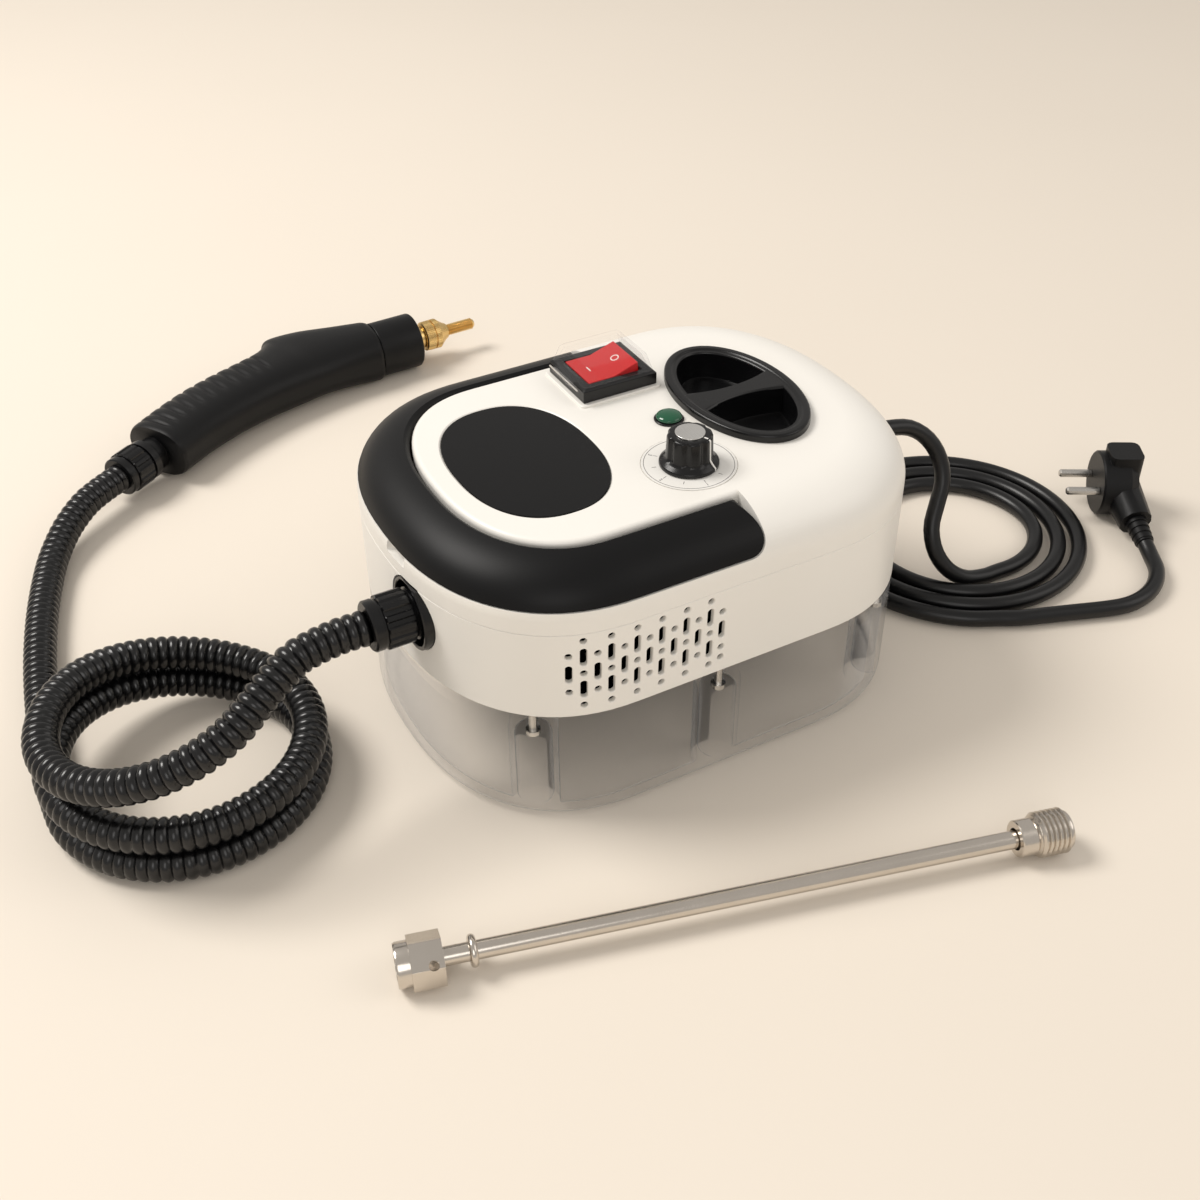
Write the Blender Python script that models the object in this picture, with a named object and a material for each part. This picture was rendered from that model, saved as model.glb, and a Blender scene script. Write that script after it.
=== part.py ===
"""A countertop steam cleaner with its steam gun, hose, extension wand and mains lead.

Metres, +Z up. The origin is the centre of the water tank's flat underside. X runs along the
housing: the hose leaves at -X and the mains lead at +X, and the vents face -Y.
"""
import math

import bmesh
import bpy
from mathutils import Matrix, Vector

MM = 0.001
GAP = 0.3 * MM
OVERRUN = 5 * MM

# Housing plan: straight sides, with a superellipse quarter at each corner
HALF_LENGTH = 130 * MM
HALF_WIDTH = 98.5 * MM
END_REACH = 80 * MM
CORNER_POWER = 2.35
CORNER_STEPS = 7

# Heights of the housing's seams
BAND_FOOT_Z = 63.3 * MM
SHELL_FOOT_Z = 110.3 * MM
DECK_Z = 139 * MM

# Water tank
TANK_WALL = 2.8 * MM
TANK_FLOOR = 3.2 * MM
TANK_FLANGE_INSET = 11 * MM
TANK_FLANGE_THICK = 3 * MM
TANK_FOOT_INSET = 5.5 * MM
TANK_FOOT_RISE = 7 * MM
POST_FOOT_Z = 2.6 * MM
POST_CORNER_X = 96 * MM
POST_MIDDLE_X = -6 * MM
SCREW_RADIUS = 2 * MM
SCREW_HEAD_RADIUS = 3.6 * MM
SCREW_HEAD_THICK = 2.4 * MM
SCREW_BORE_CLEARANCE = 0.3 * MM
SCREW_HEAD_Z = 49 * MM
GROOVE_RADIUS = 8.8 * MM
GROOVE_FOOT_Z = 9 * MM
BOSS_RADIUS = 6.4 * MM
SCREW_GRIP = 5 * MM
SCREW_SIDES = 10

# Band and chassis
BAND_WALL = 2.5 * MM
GASKET_THICK = 1.6 * MM
CHASSIS_THICK = 2.6 * MM
CHASSIS_BOSS_DEPTH = 10 * MM
BOSS_HOLE_SHARE = 0.7
SHELL_WALL = 2.5 * MM

# Shoulder of the upper shell, and the handle that fills it round the hose end
SHOULDER_INSET = 30 * MM
SHOULDER_FOOT_Z = 117 * MM
SHOULDER_STEPS = 4
DECK_EDGE_ROUND = 2.6 * MM
HANDLE_INSET = 26 * MM
HANDLE_CLEARANCE = 1.1 * MM
HANDLE_FLOOR_Z = 121.4 * MM
HANDLE_PIVOT_X = 5.5 * MM
HANDLE_END_RADIUS = 8.3 * MM
HANDLE_END_CLEARANCE = 0.8 * MM
HANDLE_LIFT = 0.5 * MM
HANDLE_PIN_RADIUS = 2.5 * MM
HANDLE_PIN_REACH = 11 * MM
HANDLE_PIN_SINK = 2 * MM
HANDLE_EDGE_ROUND = 4 * MM
PIN_CLEARANCE = 0.1 * MM
NOTCH_Y = -14 * MM
NOTCH_HALF_WIDTH = 9 * MM
NOTCH_DEPTH = 5.2 * MM
NOTCH_REACH = 7 * MM

# Vents in the band's front
VENT_COLUMNS = 13
VENT_PITCH = 6.25 * MM
VENT_FIRST_X = -84 * MM
VENT_WIDTH = 3.3 * MM
VENT_SLOT_LENGTH = 9.6 * MM
VENT_TALL_STEP = 9.1 * MM
VENT_SHORT_STEP = 10.2 * MM
VENT_LAST_STEP = 6 * MM
VENT_MIDDLE_Z = 87.8 * MM
VENT_DEPTH = 12 * MM

# Filler neck and its cap
CAP_X = 59 * MM
CAP_HALF_X = 29.5 * MM
CAP_HALF_Y = 48 * MM
CAP_RISE = 4.2 * MM
CAP_RIM = 4.5 * MM
CAP_PLUG_INSET = 5 * MM
CAP_PLUG_DEPTH = 17 * MM
CAP_POCKET_DEPTH = 15 * MM
CAP_POCKET_INSET = 2 * MM
CAP_BAR_END = 8.5 * MM
CAP_BAR_WAIST = 4.5 * MM
CAP_EDGE_SHARES = ((0, 0.35), (0.25, 0.8), (0.5, 1.0))
CAP_SEAL_SHARE = 0.7
NECK_WALL = 1.8 * MM
NECK_CLEARANCE = 0.4 * MM
NECK_FLANGE = 3 * MM
NECK_TOP_DROP = 1 * MM
SEAL_THICK = 1.2 * MM

# Power switch
SWITCH_X = 9.5 * MM
SWITCH_Y = 45.5 * MM
PAD_HALF_X = 22.5 * MM
PAD_HALF_Y = 20 * MM
PAD_RISE = 1.2 * MM
PAD_CORNER = 2 * MM
FRAME_HALF_X = 20.5 * MM
FRAME_HALF_Y = 18.2 * MM
FRAME_RISE = 7 * MM
FRAME_RIM = 3.4 * MM
FRAME_DEPTH = 16 * MM
FRAME_FLOOR = 2.5 * MM
FRAME_CHAMFER = 1 * MM
ROCKER_HALF_X = 14 * MM
ROCKER_HALF_Y = 12.5 * MM
ROCKER_TRAVEL_DEG = 18.0
ROCKER_DEPTH = 8 * MM
ROCKER_HUB_RADIUS = 3 * MM
ROCKER_CLEARANCE = 0.5 * MM
ROCKER_PIN_REACH = 1.6 * MM
ROCKER_PIN_SHARE = 0.5
ROCKER_SIDE_SHARES = ((0.96, 0.55), (0.45, 1.0))
COVER_WALL = 1.1 * MM
COVER_HEIGHT = 9 * MM
COVER_SKIRT = 2.4 * MM
COVER_DRAFT = 2.2 * MM
COVER_CORNER = 2 * MM
COVER_ROUND = 1 * MM
COVER_HINGE_RADIUS = 1.1 * MM
COVER_LEAF_REACH = 1.6 * MM
COVER_PIN_SHARE = 0.45
COVER_KNUCKLE_SHARE = 0.6
COVER_LEAF_SHARE = 0.5
COVER_LINK_SHARE = 0.7
COVER_PIN_LENGTH_SHARE = 0.85

# Temperature knob
KNOB_X = 7 * MM
KNOB_Y = -41 * MM
DIAL_RADIUS = 22.3 * MM
DIAL_THICK = 0.5 * MM
DIAL_PROUD = 0.2 * MM
KNOB_SKIRT_RADIUS = 14 * MM
KNOB_RADIUS = 11 * MM
KNOB_HEIGHT = 16 * MM
KNOB_SKIRT_HEIGHT = 3 * MM
KNOB_LOBES = 8
KNOB_FLUTE = 0.9 * MM
KNOB_STEP = 1 * MM
KNOB_ROOF = 3 * MM
KNOB_SKIRT_SHARE = 0.5
KNOB_TOP_SHARES = (0.96, 0.88)
KNOB_DISC_RADIUS = 7 * MM
KNOB_DISC_THICK = 0.8 * MM
SPINDLE_RADIUS = 3 * MM
SPINDLE_DEPTH = 12 * MM
THERMOSTAT_RADIUS = 11 * MM
THERMOSTAT_HEIGHT = 10 * MM

# Indicator lamp
LAMP_X = 19 * MM
LAMP_Y = -3 * MM
LAMP_RADIUS = 6.2 * MM
LAMP_WALL = 1.2 * MM
LAMP_DOME_RADIUS = 6.4 * MM
LAMP_BEZEL_RADIUS = 7.3 * MM
LAMP_BEZEL_RISE = 1.1 * MM
LAMP_DOME = 2.2 * MM
LAMP_DOME_RIM = 0.5 * MM
LAMP_LENS_FOOT = 1 * MM
LAMP_DEPTH = 12 * MM

# Bare oval panel in the deck
PANEL_X = -57 * MM
PANEL_HALF_X = 34.5 * MM
PANEL_HALF_Y = 49 * MM
PANEL_POWER = 2.3
PANEL_RECESS = 0.9 * MM
PANEL_THICK = 0.8 * MM

# Hose port in the hose end
PORT_Y = -25 * MM
PORT_Z = 93 * MM
PORT_RADIUS = 18 * MM
PORT_SINK = 0.4 * MM
PORT_FACE_X = PORT_SINK - HALF_LENGTH
PORT_CUP_WALL = 2 * MM
PORT_CUP_DEPTH = 10 * MM
PORT_STUB_RADIUS = 7 * MM
PORT_STUB_WALL = 2 * MM
PORT_STUB_PROUD = 2 * MM
PORT_NUT_RADIUS = 13 * MM
PORT_NUT_SINK = 7 * MM
PORT_NUT_REACH = 20 * MM
PORT_NUT_FACE_X = PORT_NUT_SINK - HALF_LENGTH
PORT_NUT_END_X = -HALF_LENGTH - PORT_NUT_REACH
NUT_RIBS = 8
NUT_RIM_SHARE = 0.94
NUT_FLUTE_SHARE = 0.07
NUT_BAND_SHARE = 0.2
NUT_STEP_SHARE = 0.02

# Steam hose
HOSE_RADIUS = 8.5 * MM
HOSE_ROOT = 7.1 * MM
HOSE_BORE = 5 * MM
HOSE_SIDES = 8
RIB_PITCH = 12 * MM
BORE_RIBS = 2
PORT_RUN = ((-28.7 * MM, -1.3 * MM, -1.2 * MM), (-38.2 * MM, -3.4 * MM, -3.4 * MM))
PORT_RUN_LEG = 14 * MM
COIL_REACH = 104 * MM
COIL_X = -HALF_LENGTH - COIL_REACH
COIL_Y = 17 * MM
COIL_RADIUS = 60 * MM
COIL_LAYER = 17.9 * MM
FLOOR_LIFT = 0.4 * MM
COIL_START_DEG = 61
COIL_LANDING_DEG = 210
COIL_LEAD_DROP = 38 * MM
COIL_CLIMB_START_DEG = 212
COIL_CLIMB_DEG = 120
COIL_LEAVING_DEG = 185
COIL_TURNS = 2
COIL_STEP_DEG = 7.5
GUN_BEND_RADIUS = 110 * MM
GUN_BEND_DEG = -37.3
GUN_BEND_SHARES = (0, 0.27, 0.54, 0.8)
FLOOR_RUN_SHARES = (0.2, 0.4, 0.6, 0.8)
FLOOR_RUN_CORNER = (-49.9 * MM, 118.3 * MM)
GAP_CHECK_FAR = 100 * MM

# Steam gun, lying on its side. Shares are of its length from the foot of the grip to the tip
GUN_LENGTH = 250 * MM
GUN_FROM_COIL = (63 * MM, 274 * MM)
GUN_FOOT_X = COIL_X + GUN_FROM_COIL[0]
GUN_FOOT_Y = COIL_Y + GUN_FROM_COIL[1]
GUN_HEADING_DEG = 13
GUN_NOZZLE_DEG = -10.5
GUN_HALF_THICK = 17.5 * MM
GUN_BACK_SHARES = [(-0.033, 0.077), (0.041, 0.112), (0.139, 0.149), (0.230, 0.171), (0.320, 0.184),
                   (0.398, 0.197), (0.437, 0.219), (0.458, 0.244), (0.53, 0.226), (0.62, 0.178), (0.704, 0.134)]
GUN_BELLY_SHARES = [(0.028, -0.092), (0.085, -0.070), (0.150, -0.047), (0.240, -0.024), (0.330, -0.010),
                    (0.400, -0.006), (0.455, -0.005), (0.510, -0.006), (0.565, -0.010), (0.62, -0.018), (0.672, -0.027)]
GUN_THICK_SHARES = [0.93, 0.92, 0.92, 0.93, 0.95, 0.97, 1.0, 1.0, 1.03, 1.05, 1.07]
GUN_SECTION_SHARE = 0.8
GUN_SECTION_POINTS = 9
GUN_GROOVES = 11
GUN_GROOVE_DEPTH = 1.1 * MM
GUN_GRIP_SHARES = (0.045, 0.46)
GUN_LIP_SHARE = 0.02
COLLAR_LENGTH = 30 * MM
COLLAR_RADIUS = 18.4 * MM
COLLAR_CHAMFER = 1 * MM
NOZZLE_FLANGE_RADIUS = 9.2 * MM
NOZZLE_FLANGE_LENGTH = 6 * MM
NOZZLE_FLANGE_SHARES = (0.4, 0.5, 0.8)
NOZZLE_NUT_RADIUS = 10.2 * MM
NOZZLE_NUT_LENGTH = 18 * MM
NOZZLE_NUT_SHARES = (0.95, 0.66, 1.35)
NOZZLE_CHAMFER = 1 * MM
NOZZLE_TIP_SHARE = 0.8
NOZZLE_STUB_RADIUS = 3.9 * MM
NOZZLE_STUB_LENGTH = 21 * MM
GUN_NUT_RADIUS = 13 * MM
GUN_NUT_LENGTH = 25 * MM
GUN_NECK_RADIUS = 10.5 * MM
GUN_NECK_LENGTH = 8 * MM

# Extension wand on the floor in front
WAND_START = (-193 * MM, -141 * MM)
WAND_END = (104 * MM, -218 * MM)
WAND_HEAD_RADIUS = 10.5 * MM
WAND_NOSE_RADIUS = 10 * MM
WAND_TUBE_RADIUS = 4.2 * MM
WAND_SOCKET_LENGTH = 20 * MM
WAND_SOCKET_NOSE = 6 * MM
WAND_BORE_RADIUS = 6.5 * MM
WAND_BORE_DEPTH = 13 * MM
WAND_HOLE_RADIUS = 2.2 * MM
WAND_CHAMFER = 1 * MM
WAND_NOSE_CHAMFER = 0.5 * MM
WAND_RING_RADIUS = 7.2 * MM
WAND_RING_LENGTH = 3.5 * MM
WAND_RING_AT = 31 * MM
WAND_RING_SHARE = 0.85
WAND_THREAD_LENGTH = 17 * MM
WAND_SHOULDER_RADIUS = 8.5 * MM
WAND_SHOULDER_LENGTH = 8 * MM
WAND_THREAD_SHARE = 0.9

# Mains lead
LEAD_RADIUS = 4.5 * MM
GLAND_Z = 90 * MM
GLAND_RADIUS = 8.5 * MM
GLAND_BASE = 4 * MM
GLAND_NECK_SHARE = 0.7
GLAND_SLEEVE_SHARE = 0.82
GLAND_SEAT = 0.6 * MM
GLAND_INNER = 2 * MM
GLAND_CHAMFER = 1 * MM
GLAND_LEAD_WALL = 1 * MM
GLAND_REACH = 25 * MM
GLAND_TIP_X = HALF_LENGTH + GLAND_REACH
LEAD_RING_REACH = 85 * MM
LEAD_RING_X = HALF_LENGTH + LEAD_RING_REACH
LEAD_RING_Y = -5 * MM
LEAD_INNER_RADIUS = 46 * MM
LEAD_OUTER_RADIUS = 81 * MM
LEAD_LANDING_DEG = 265
LEAD_LANDING_INSET = 4 * MM
LEAD_SETTLING_DEG = 90
DROP_BEND_STEPS = 5
LEAD_LEAVING_DEG = 250
LEAD_TURNS = 3
LEAD_STEP_DEG = 15
LEAD_PITCH = 16 * MM
LEAD_BEND_RADIUS = 42 * MM
LEAD_BEND_DEG = 90
LEAD_BEND_SHARES = (0, 0.2, 0.4, 0.6, 0.8)
PLUG_REACH = 186 * MM
PLUG_X = HALF_LENGTH + PLUG_REACH
PLUG_Y = -26 * MM
PLUG_RADIUS = 19 * MM
PLUG_THICK = 21 * MM
PLUG_CHAMFER = 1 * MM
PLUG_BACK_SHARES = (0.8, 0.75)
PLUG_CROWN_HALF_WIDTH = 9.5 * MM
PLUG_CROWN_RISE = 3 * MM
PLUG_CROWN_SETBACK = 4 * MM
PLUG_CROWN_OVERHANG = 2 * MM
PLUG_PIN_DEG = 150
PLUG_PIN_RADIUS = 2.4 * MM
PLUG_PIN_LENGTH = 19 * MM
PLUG_PIN_ROUND = 1 * MM
PLUG_PIN_TIP_SHARE = 0.67
PLUG_PIN_SPREAD = 9.5 * MM
PLUG_ARM_DEG = -112
PLUG_ARM_LENGTH = 32 * MM
PLUG_ARM_RADIUS = 9.5 * MM
PLUG_ARM_ROOT_SHARE = 1.25
PLUG_ARM_SLOPE_SHARE = -0.24
PLUG_ARM_BACK_SHARE = 0.12
PLUG_TAIL_LENGTH = 16 * MM
PLUG_TAIL_RADIUS = 6.4 * MM
PLUG_TAIL_RIBS = 3
PLUG_TAIL_GROOVE = 0.7 * MM
PLUG_LEAD_WALL = 1 * MM

# Inner parts
BOILER_X = -62 * MM
BOILER_Y = 22 * MM
BOILER_RADIUS = 24 * MM
BOILER_HALF_LENGTH = 36 * MM
BOILER_END = 4 * MM
BOILER_END_SHARE = 0.7
BOILER_SEAT_SHARE = 0.85
CRADLE_THICK = 5 * MM
CRADLE_HALF_WIDTH = 16 * MM
CRADLE_PLACE_SHARE = 0.6
CRADLE_HEIGHT_SHARE = 0.5
PUMP_X = -50 * MM
PUMP_Y = -44 * MM
PUMP_SIZE = (56 * MM, 34 * MM, 26 * MM)
PUMP_HEAD_RADIUS = 9 * MM
PUMP_HEAD_LENGTH = 14 * MM
PUMP_HEAD_SINK = 1 * MM
PUMP_CORNER = 4 * MM
BOARD_X = -6 * MM
BOARD_Y = 58 * MM
BOARD_SIZE = (46 * MM, 26 * MM, 1.6 * MM)
BOARD_POST = 6 * MM

FINE = 16
COARSE = 10


def clear_scene():
    for item in list(bpy.data.objects):
        bpy.data.objects.remove(item, do_unlink=True)


def material(name, colour, roughness, metallic=0.0, alpha=1.0):
    made = bpy.data.materials.new(name)
    made.use_nodes = True
    shader = made.node_tree.nodes["Principled BSDF"]
    shader.inputs["Base Color"].default_value = (*colour, 1.0)
    shader.inputs["Roughness"].default_value = roughness
    shader.inputs["Metallic"].default_value = metallic
    shader.inputs["Alpha"].default_value = alpha
    made.diffuse_color = (*colour, alpha)
    return made


def make_materials():
    return {
        "white": material("white_shell", (0.86, 0.85, 0.82), 0.35),
        "clear": material("clear_tank", (0.85, 0.86, 0.87), 0.08, alpha=0.35),
        "black": material("black_plastic", (0.012, 0.012, 0.013), 0.32),
        "grip": material("black_grip", (0.016, 0.016, 0.017), 0.45),
        "rubber": material("black_rubber", (0.02, 0.02, 0.02), 0.6),
        "red": material("red_rocker", (0.62, 0.02, 0.02), 0.25),
        "green": material("green_lens", (0.01, 0.22, 0.08), 0.15),
        "steel": material("bright_steel", (0.62, 0.58, 0.52), 0.25, 1.0),
        "brass": material("brass", (0.80, 0.58, 0.27), 0.28, 1.0),
        "board": material("board_green", (0.02, 0.13, 0.06), 0.5),
        "dial": material("dial_print", (0.88, 0.87, 0.84), 0.4),
        "disc": material("silver_disc", (0.80, 0.79, 0.77), 0.3, 1.0),
    }


def publish(name, bm, look, origin=Vector((0, 0, 0))):
    """Turns a finished bmesh into a named, smoothly shaded object, whose origin is where it turns."""
    bmesh.ops.recalc_face_normals(bm, faces=bm.faces)
    bmesh.ops.translate(bm, vec=-origin, verts=bm.verts)
    mesh = bpy.data.meshes.new(name)
    bm.to_mesh(mesh)
    bm.free()
    mesh.materials.append(look)
    mesh.shade_smooth()
    mesh.set_sharp_from_angle(angle=math.radians(35))
    item = bpy.data.objects.new(name, mesh)
    item.location = origin
    bpy.context.scene.collection.objects.link(item)
    return item


def use_tool(item, bm, name, operation="DIFFERENCE"):
    """Cuts item with, or joins to it, the solid in bm."""
    bmesh.ops.recalc_face_normals(bm, faces=bm.faces)
    mesh = bpy.data.meshes.new(name)
    bm.to_mesh(mesh)
    bm.free()
    tool = bpy.data.objects.new(name, mesh)
    tool.hide_render = True
    tool.display_type = "WIRE"
    bpy.context.scene.collection.objects.link(tool)
    boolean = item.modifiers.new(name, "BOOLEAN")
    boolean.operation = operation
    boolean.solver = "EXACT"
    boolean.object = tool
    return tool


def skin(rings, cap_start=True, cap_end=True, closed=False):
    """A solid through rings of as many points each, in order along its length."""
    bm = bmesh.new()
    rows = [[bm.verts.new(point) for point in ring] for ring in rings]
    pairs = list(zip(rows, rows[1:]))
    if closed:
        pairs.append((rows[-1], rows[0]))
    for low, high in pairs:
        for k in range(len(low)):
            after = (k + 1) % len(low)
            bm.faces.new((low[k], low[after], high[after], high[k]))
    if cap_start and not closed:
        bm.faces.new(list(reversed(rows[0])))
    if cap_end and not closed:
        bm.faces.new(rows[-1])
    return bm


def plan_ring(inset, z, steps=CORNER_STEPS):
    """The housing's outline drawn in by inset, at height z."""
    reach = END_REACH - inset
    half_width = HALF_WIDTH - inset
    quarter = []
    for k in range(steps + 1):
        turn = math.pi / 2 * k / steps
        x = HALF_LENGTH - END_REACH + reach * math.cos(turn) ** (2 / CORNER_POWER) if k < steps else HALF_LENGTH - END_REACH
        y = half_width * math.sin(turn) ** (2 / CORNER_POWER)
        quarter.append((x, y))
    ring = list(quarter)
    ring += [(-x, y) for x, y in reversed(quarter)]
    ring += [(-x, -y) for x, y in quarter[1:]]
    ring += [(x, -y) for x, y in reversed(quarter[1:])]
    return [Vector((x, y, z)) for x, y in ring]


def power_turn(turn, power):
    """The point at a turn on a superellipse of half sizes one; a power of 2 gives a circle."""
    across, along = math.cos(turn), math.sin(turn)
    return (math.copysign(abs(across) ** (2 / power), across), math.copysign(abs(along) ** (2 / power), along))


def oval_ring(centre, half_x, half_y, z, power=2.0, count=26):
    unit = [power_turn(2 * math.pi * (k + 0.5) / count, power) for k in range(count)]
    return [Vector((centre[0] + half_x * x, centre[1] + half_y * y, z)) for x, y in unit]


def box_ring(centre, half_x, half_y, z, corner=0.0, steps=3):
    """A rectangle at height z, with round corners where a corner radius is given."""
    if corner == 0.0:
        return [Vector((centre[0] + sx * half_x, centre[1] + sy * half_y, z))
                for sx, sy in ((1, 1), (-1, 1), (-1, -1), (1, -1))]
    ring = []
    for quarter, (sx, sy) in enumerate(((1, 1), (-1, 1), (-1, -1), (1, -1))):
        for k in range(steps + 1):
            turn = math.pi / 2 * (quarter + k / steps)
            ring.append(Vector((centre[0] + sx * (half_x - corner) + corner * math.cos(turn),
                                centre[1] + sy * (half_y - corner) + corner * math.sin(turn), z)))
    return ring


def box_solid(centre, half_x, half_y, low, high, corner=0.0):
    return skin([box_ring(centre, half_x, half_y, z, corner) for z in (low, high)])


def turned(profile, count, place=Matrix.Identity(4), wave=0, wave_depth=0.0):
    """A solid of revolution about Z from (radius, height) pairs, low to high, then placed.

    With a wave it gets that many flutes, as deep as wave_depth, on every ring with a third value of 1.
    """
    rings = []
    for row in profile:
        radius, height = row[0], row[1]
        fluted = wave and len(row) > 2 and row[2]
        ring = []
        for k in range(count):
            turn = 2 * math.pi * k / count
            here = radius - (wave_depth if fluted and math.cos(wave * turn) < -0.3 else 0.0)
            ring.append(place @ Vector((here * math.cos(turn), here * math.sin(turn), height)))
        rings.append(ring)
    return skin(rings)


def tube_solid(profile_out, profile_in, count, place=Matrix.Identity(4)):
    """A turned ring: up the outer profile, then down the inner one."""
    rings = []
    for radius, height in list(profile_out) + list(reversed(profile_in)):
        rings.append([place @ Vector((radius * math.cos(2 * math.pi * k / count),
                                      radius * math.sin(2 * math.pi * k / count), height)) for k in range(count)])
    return skin(rings, closed=True)


def running_bore(radius, sides):
    """The radius of a faceted bore whose flats clear a round pin at every angle."""
    return (radius + PIN_CLEARANCE) / math.cos(math.pi / sides)


def aim(point, direction):
    """A frame at point whose Z axis runs along direction, with X kept level."""
    ahead = Vector(direction).normalized()
    side = Vector((0, 0, 1)).cross(ahead)
    side = side.normalized() if side.length > 1e-6 else Vector((1, 0, 0))
    up = ahead.cross(side)
    frame = Matrix((side, up, ahead)).transposed().to_4x4()
    frame.translation = Vector(point)
    return frame


def smooth_curve(points, per_span):
    """Catmull-Rom points through a hand-placed route."""
    route = [Vector(p) for p in points]
    route = [2 * route[0] - route[1]] + route + [2 * route[-1] - route[-2]]
    found = []
    for k in range(1, len(route) - 2):
        a, b, c, d = route[k - 1:k + 3]
        for step in range(per_span):
            t = step / per_span
            found.append(0.5 * ((2 * b) + (c - a) * t + (2 * a - 5 * b + 4 * c - d) * t ** 2
                                + (3 * b - a - 3 * c + d) * t ** 3))
    found.append(route[-2])
    return found


def spaced(points, pitch):
    """Points a steady pitch apart along a run of points, ends kept."""
    lengths = [0.0]
    for a, b in zip(points, points[1:]):
        lengths.append(lengths[-1] + (b - a).length)
    count = max(1, round(lengths[-1] / pitch))
    found = []
    k = 0
    for step in range(count + 1):
        at = lengths[-1] * step / count
        while k < len(points) - 2 and lengths[k + 1] < at:
            k += 1
        share = (at - lengths[k]) / (lengths[k + 1] - lengths[k])
        found.append(points[k].lerp(points[k + 1], min(max(share, 0.0), 1.0)))
    return found


def free_run(points, pitch):
    """A smooth run through hand-placed points, straight along its first and last legs."""
    steps = 8
    middle = smooth_curve(points, steps)[steps:-steps]
    first, last = Vector(points[0]), Vector(points[-1])
    return (spaced([first, middle[0]], pitch)[:-1] + spaced(middle, pitch)
            + spaced([middle[-1], last], pitch)[1:])


def coil_run(point_at, start, end, step, leg):
    """A coil's turns, each end drawn in by half a gap, with a straight leg after the last turn.

    Also gives the directions in which its first leg sets out and its last one arrives.
    """
    count = round((end - start) / step)
    points = [point_at(start + (end - start) * k / count) for k in range(count + 1)]
    out = (points[1] - points[0]).normalized()
    away = (points[-1] - points[-2]).normalized()
    points[0] = points[0] + out * GAP / 2
    points.append(points[-1] + away * (leg - GAP / 2))
    return points, out, away


def bend_run(leg, ahead, radius, turned_deg, shares, floor):
    """Places round an easy bend that lies on the floor and comes up to a leg, into which it runs along ahead."""
    level = Vector((ahead.x, ahead.y, 0)).normalized()
    side = math.copysign(1, turned_deg)
    spoke = Vector((level.y, -level.x, 0)) * radius * side
    found = []
    for share in shares:
        turn = Matrix.Rotation(-math.radians(turned_deg) * (1 - share), 4, "Z")
        point = leg - spoke + turn @ spoke
        point.z = floor + (leg.z - floor) * ease(share)
        found.append(point)
    return found


def double_bend(start, end, ahead, count):
    """Two equal arcs, back to back, that leave one place and reach another both in the same direction."""
    gap = end - start
    across = gap - ahead * gap.dot(ahead)
    half = math.atan2(across.length, gap.dot(ahead))
    radius = gap.length / (4 * math.sin(half))
    across.normalize()
    steps = []
    for k in range(count + 1):
        turn = 2 * half * k / count
        steps.append(ahead * radius * math.sin(turn) + across * radius * (1 - math.cos(turn)))
    return [start + step for step in steps] + [end - step for step in reversed(steps[:-1])]


def path_frames(points):
    """Side and up directions carried along a path without twist."""
    frames = []
    side = None
    for k, here in enumerate(points):
        ahead = (points[min(k + 1, len(points) - 1)] - points[max(k - 1, 0)]).normalized()
        if side is None:
            side = ahead.cross(Vector((0, 0, 1))).normalized()
        side = (side - ahead * side.dot(ahead)).normalized()
        frames.append((here, side, side.cross(ahead)))
    return frames


def path_length(points):
    return sum((b - a).length for a, b in zip(points, points[1:]))


def hose_solid(points):
    """A corrugated hose with its bore: a crest and a root for each rib, plain for a diameter at each end."""
    frames = path_frames(points)
    plain = max(1, round(2 * HOSE_RADIUS / (RIB_PITCH / 2)))

    def ring(frame, radius):
        here, side, up = frame
        turns = [2 * math.pi * (k + 0.5) / HOSE_SIDES for k in range(HOSE_SIDES)]
        return [here + side * radius * math.cos(t) + up * radius * math.sin(t) for t in turns]

    rings = []
    last = len(frames) - 1
    for k, frame in enumerate(frames):
        straight = k < plain or k > last - plain
        radius = HOSE_ROOT if straight or k % 2 else HOSE_RADIUS
        rings.append(ring(frame, radius))
    inner = [ring(frames[k], HOSE_BORE) for k in range(last, -1, -2 * BORE_RIBS)]
    if last % (2 * BORE_RIBS):
        inner.append(ring(frames[0], HOSE_BORE))
    return skin(rings + inner, closed=True)


def lead_tube(name, points, look, resolution):
    curve = bpy.data.curves.new(name, "CURVE")
    curve.dimensions = "3D"
    curve.bevel_depth = LEAD_RADIUS
    curve.bevel_resolution = resolution
    curve.use_fill_caps = True
    curve.materials.append(look)
    spline = curve.splines.new("POLY")
    spline.points.add(len(points) - 1)
    for slot, point in zip(spline.points, points):
        slot.co = (*point, 1.0)
    item = bpy.data.objects.new(name, curve)
    bpy.context.scene.collection.objects.link(item)
    return item


def least_gap(points, across, far):
    """The least clear space between stretches of one run of points that are more than far apart along it."""
    least = 1.0
    step = path_length(points) / (len(points) - 1)
    skip = int(far / step)
    for k, here in enumerate(points):
        for other in points[k + skip:]:
            least = min(least, (here - other).length - across)
    return least


def ease(share):
    share = min(max(share, 0.0), 1.0)
    return share * share * (3 - 2 * share)


# Housing

def post_inset():
    """How far in the screws stand, clear of the band's wall."""
    return BAND_WALL + SCREW_RADIUS + 2 * GAP


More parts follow.
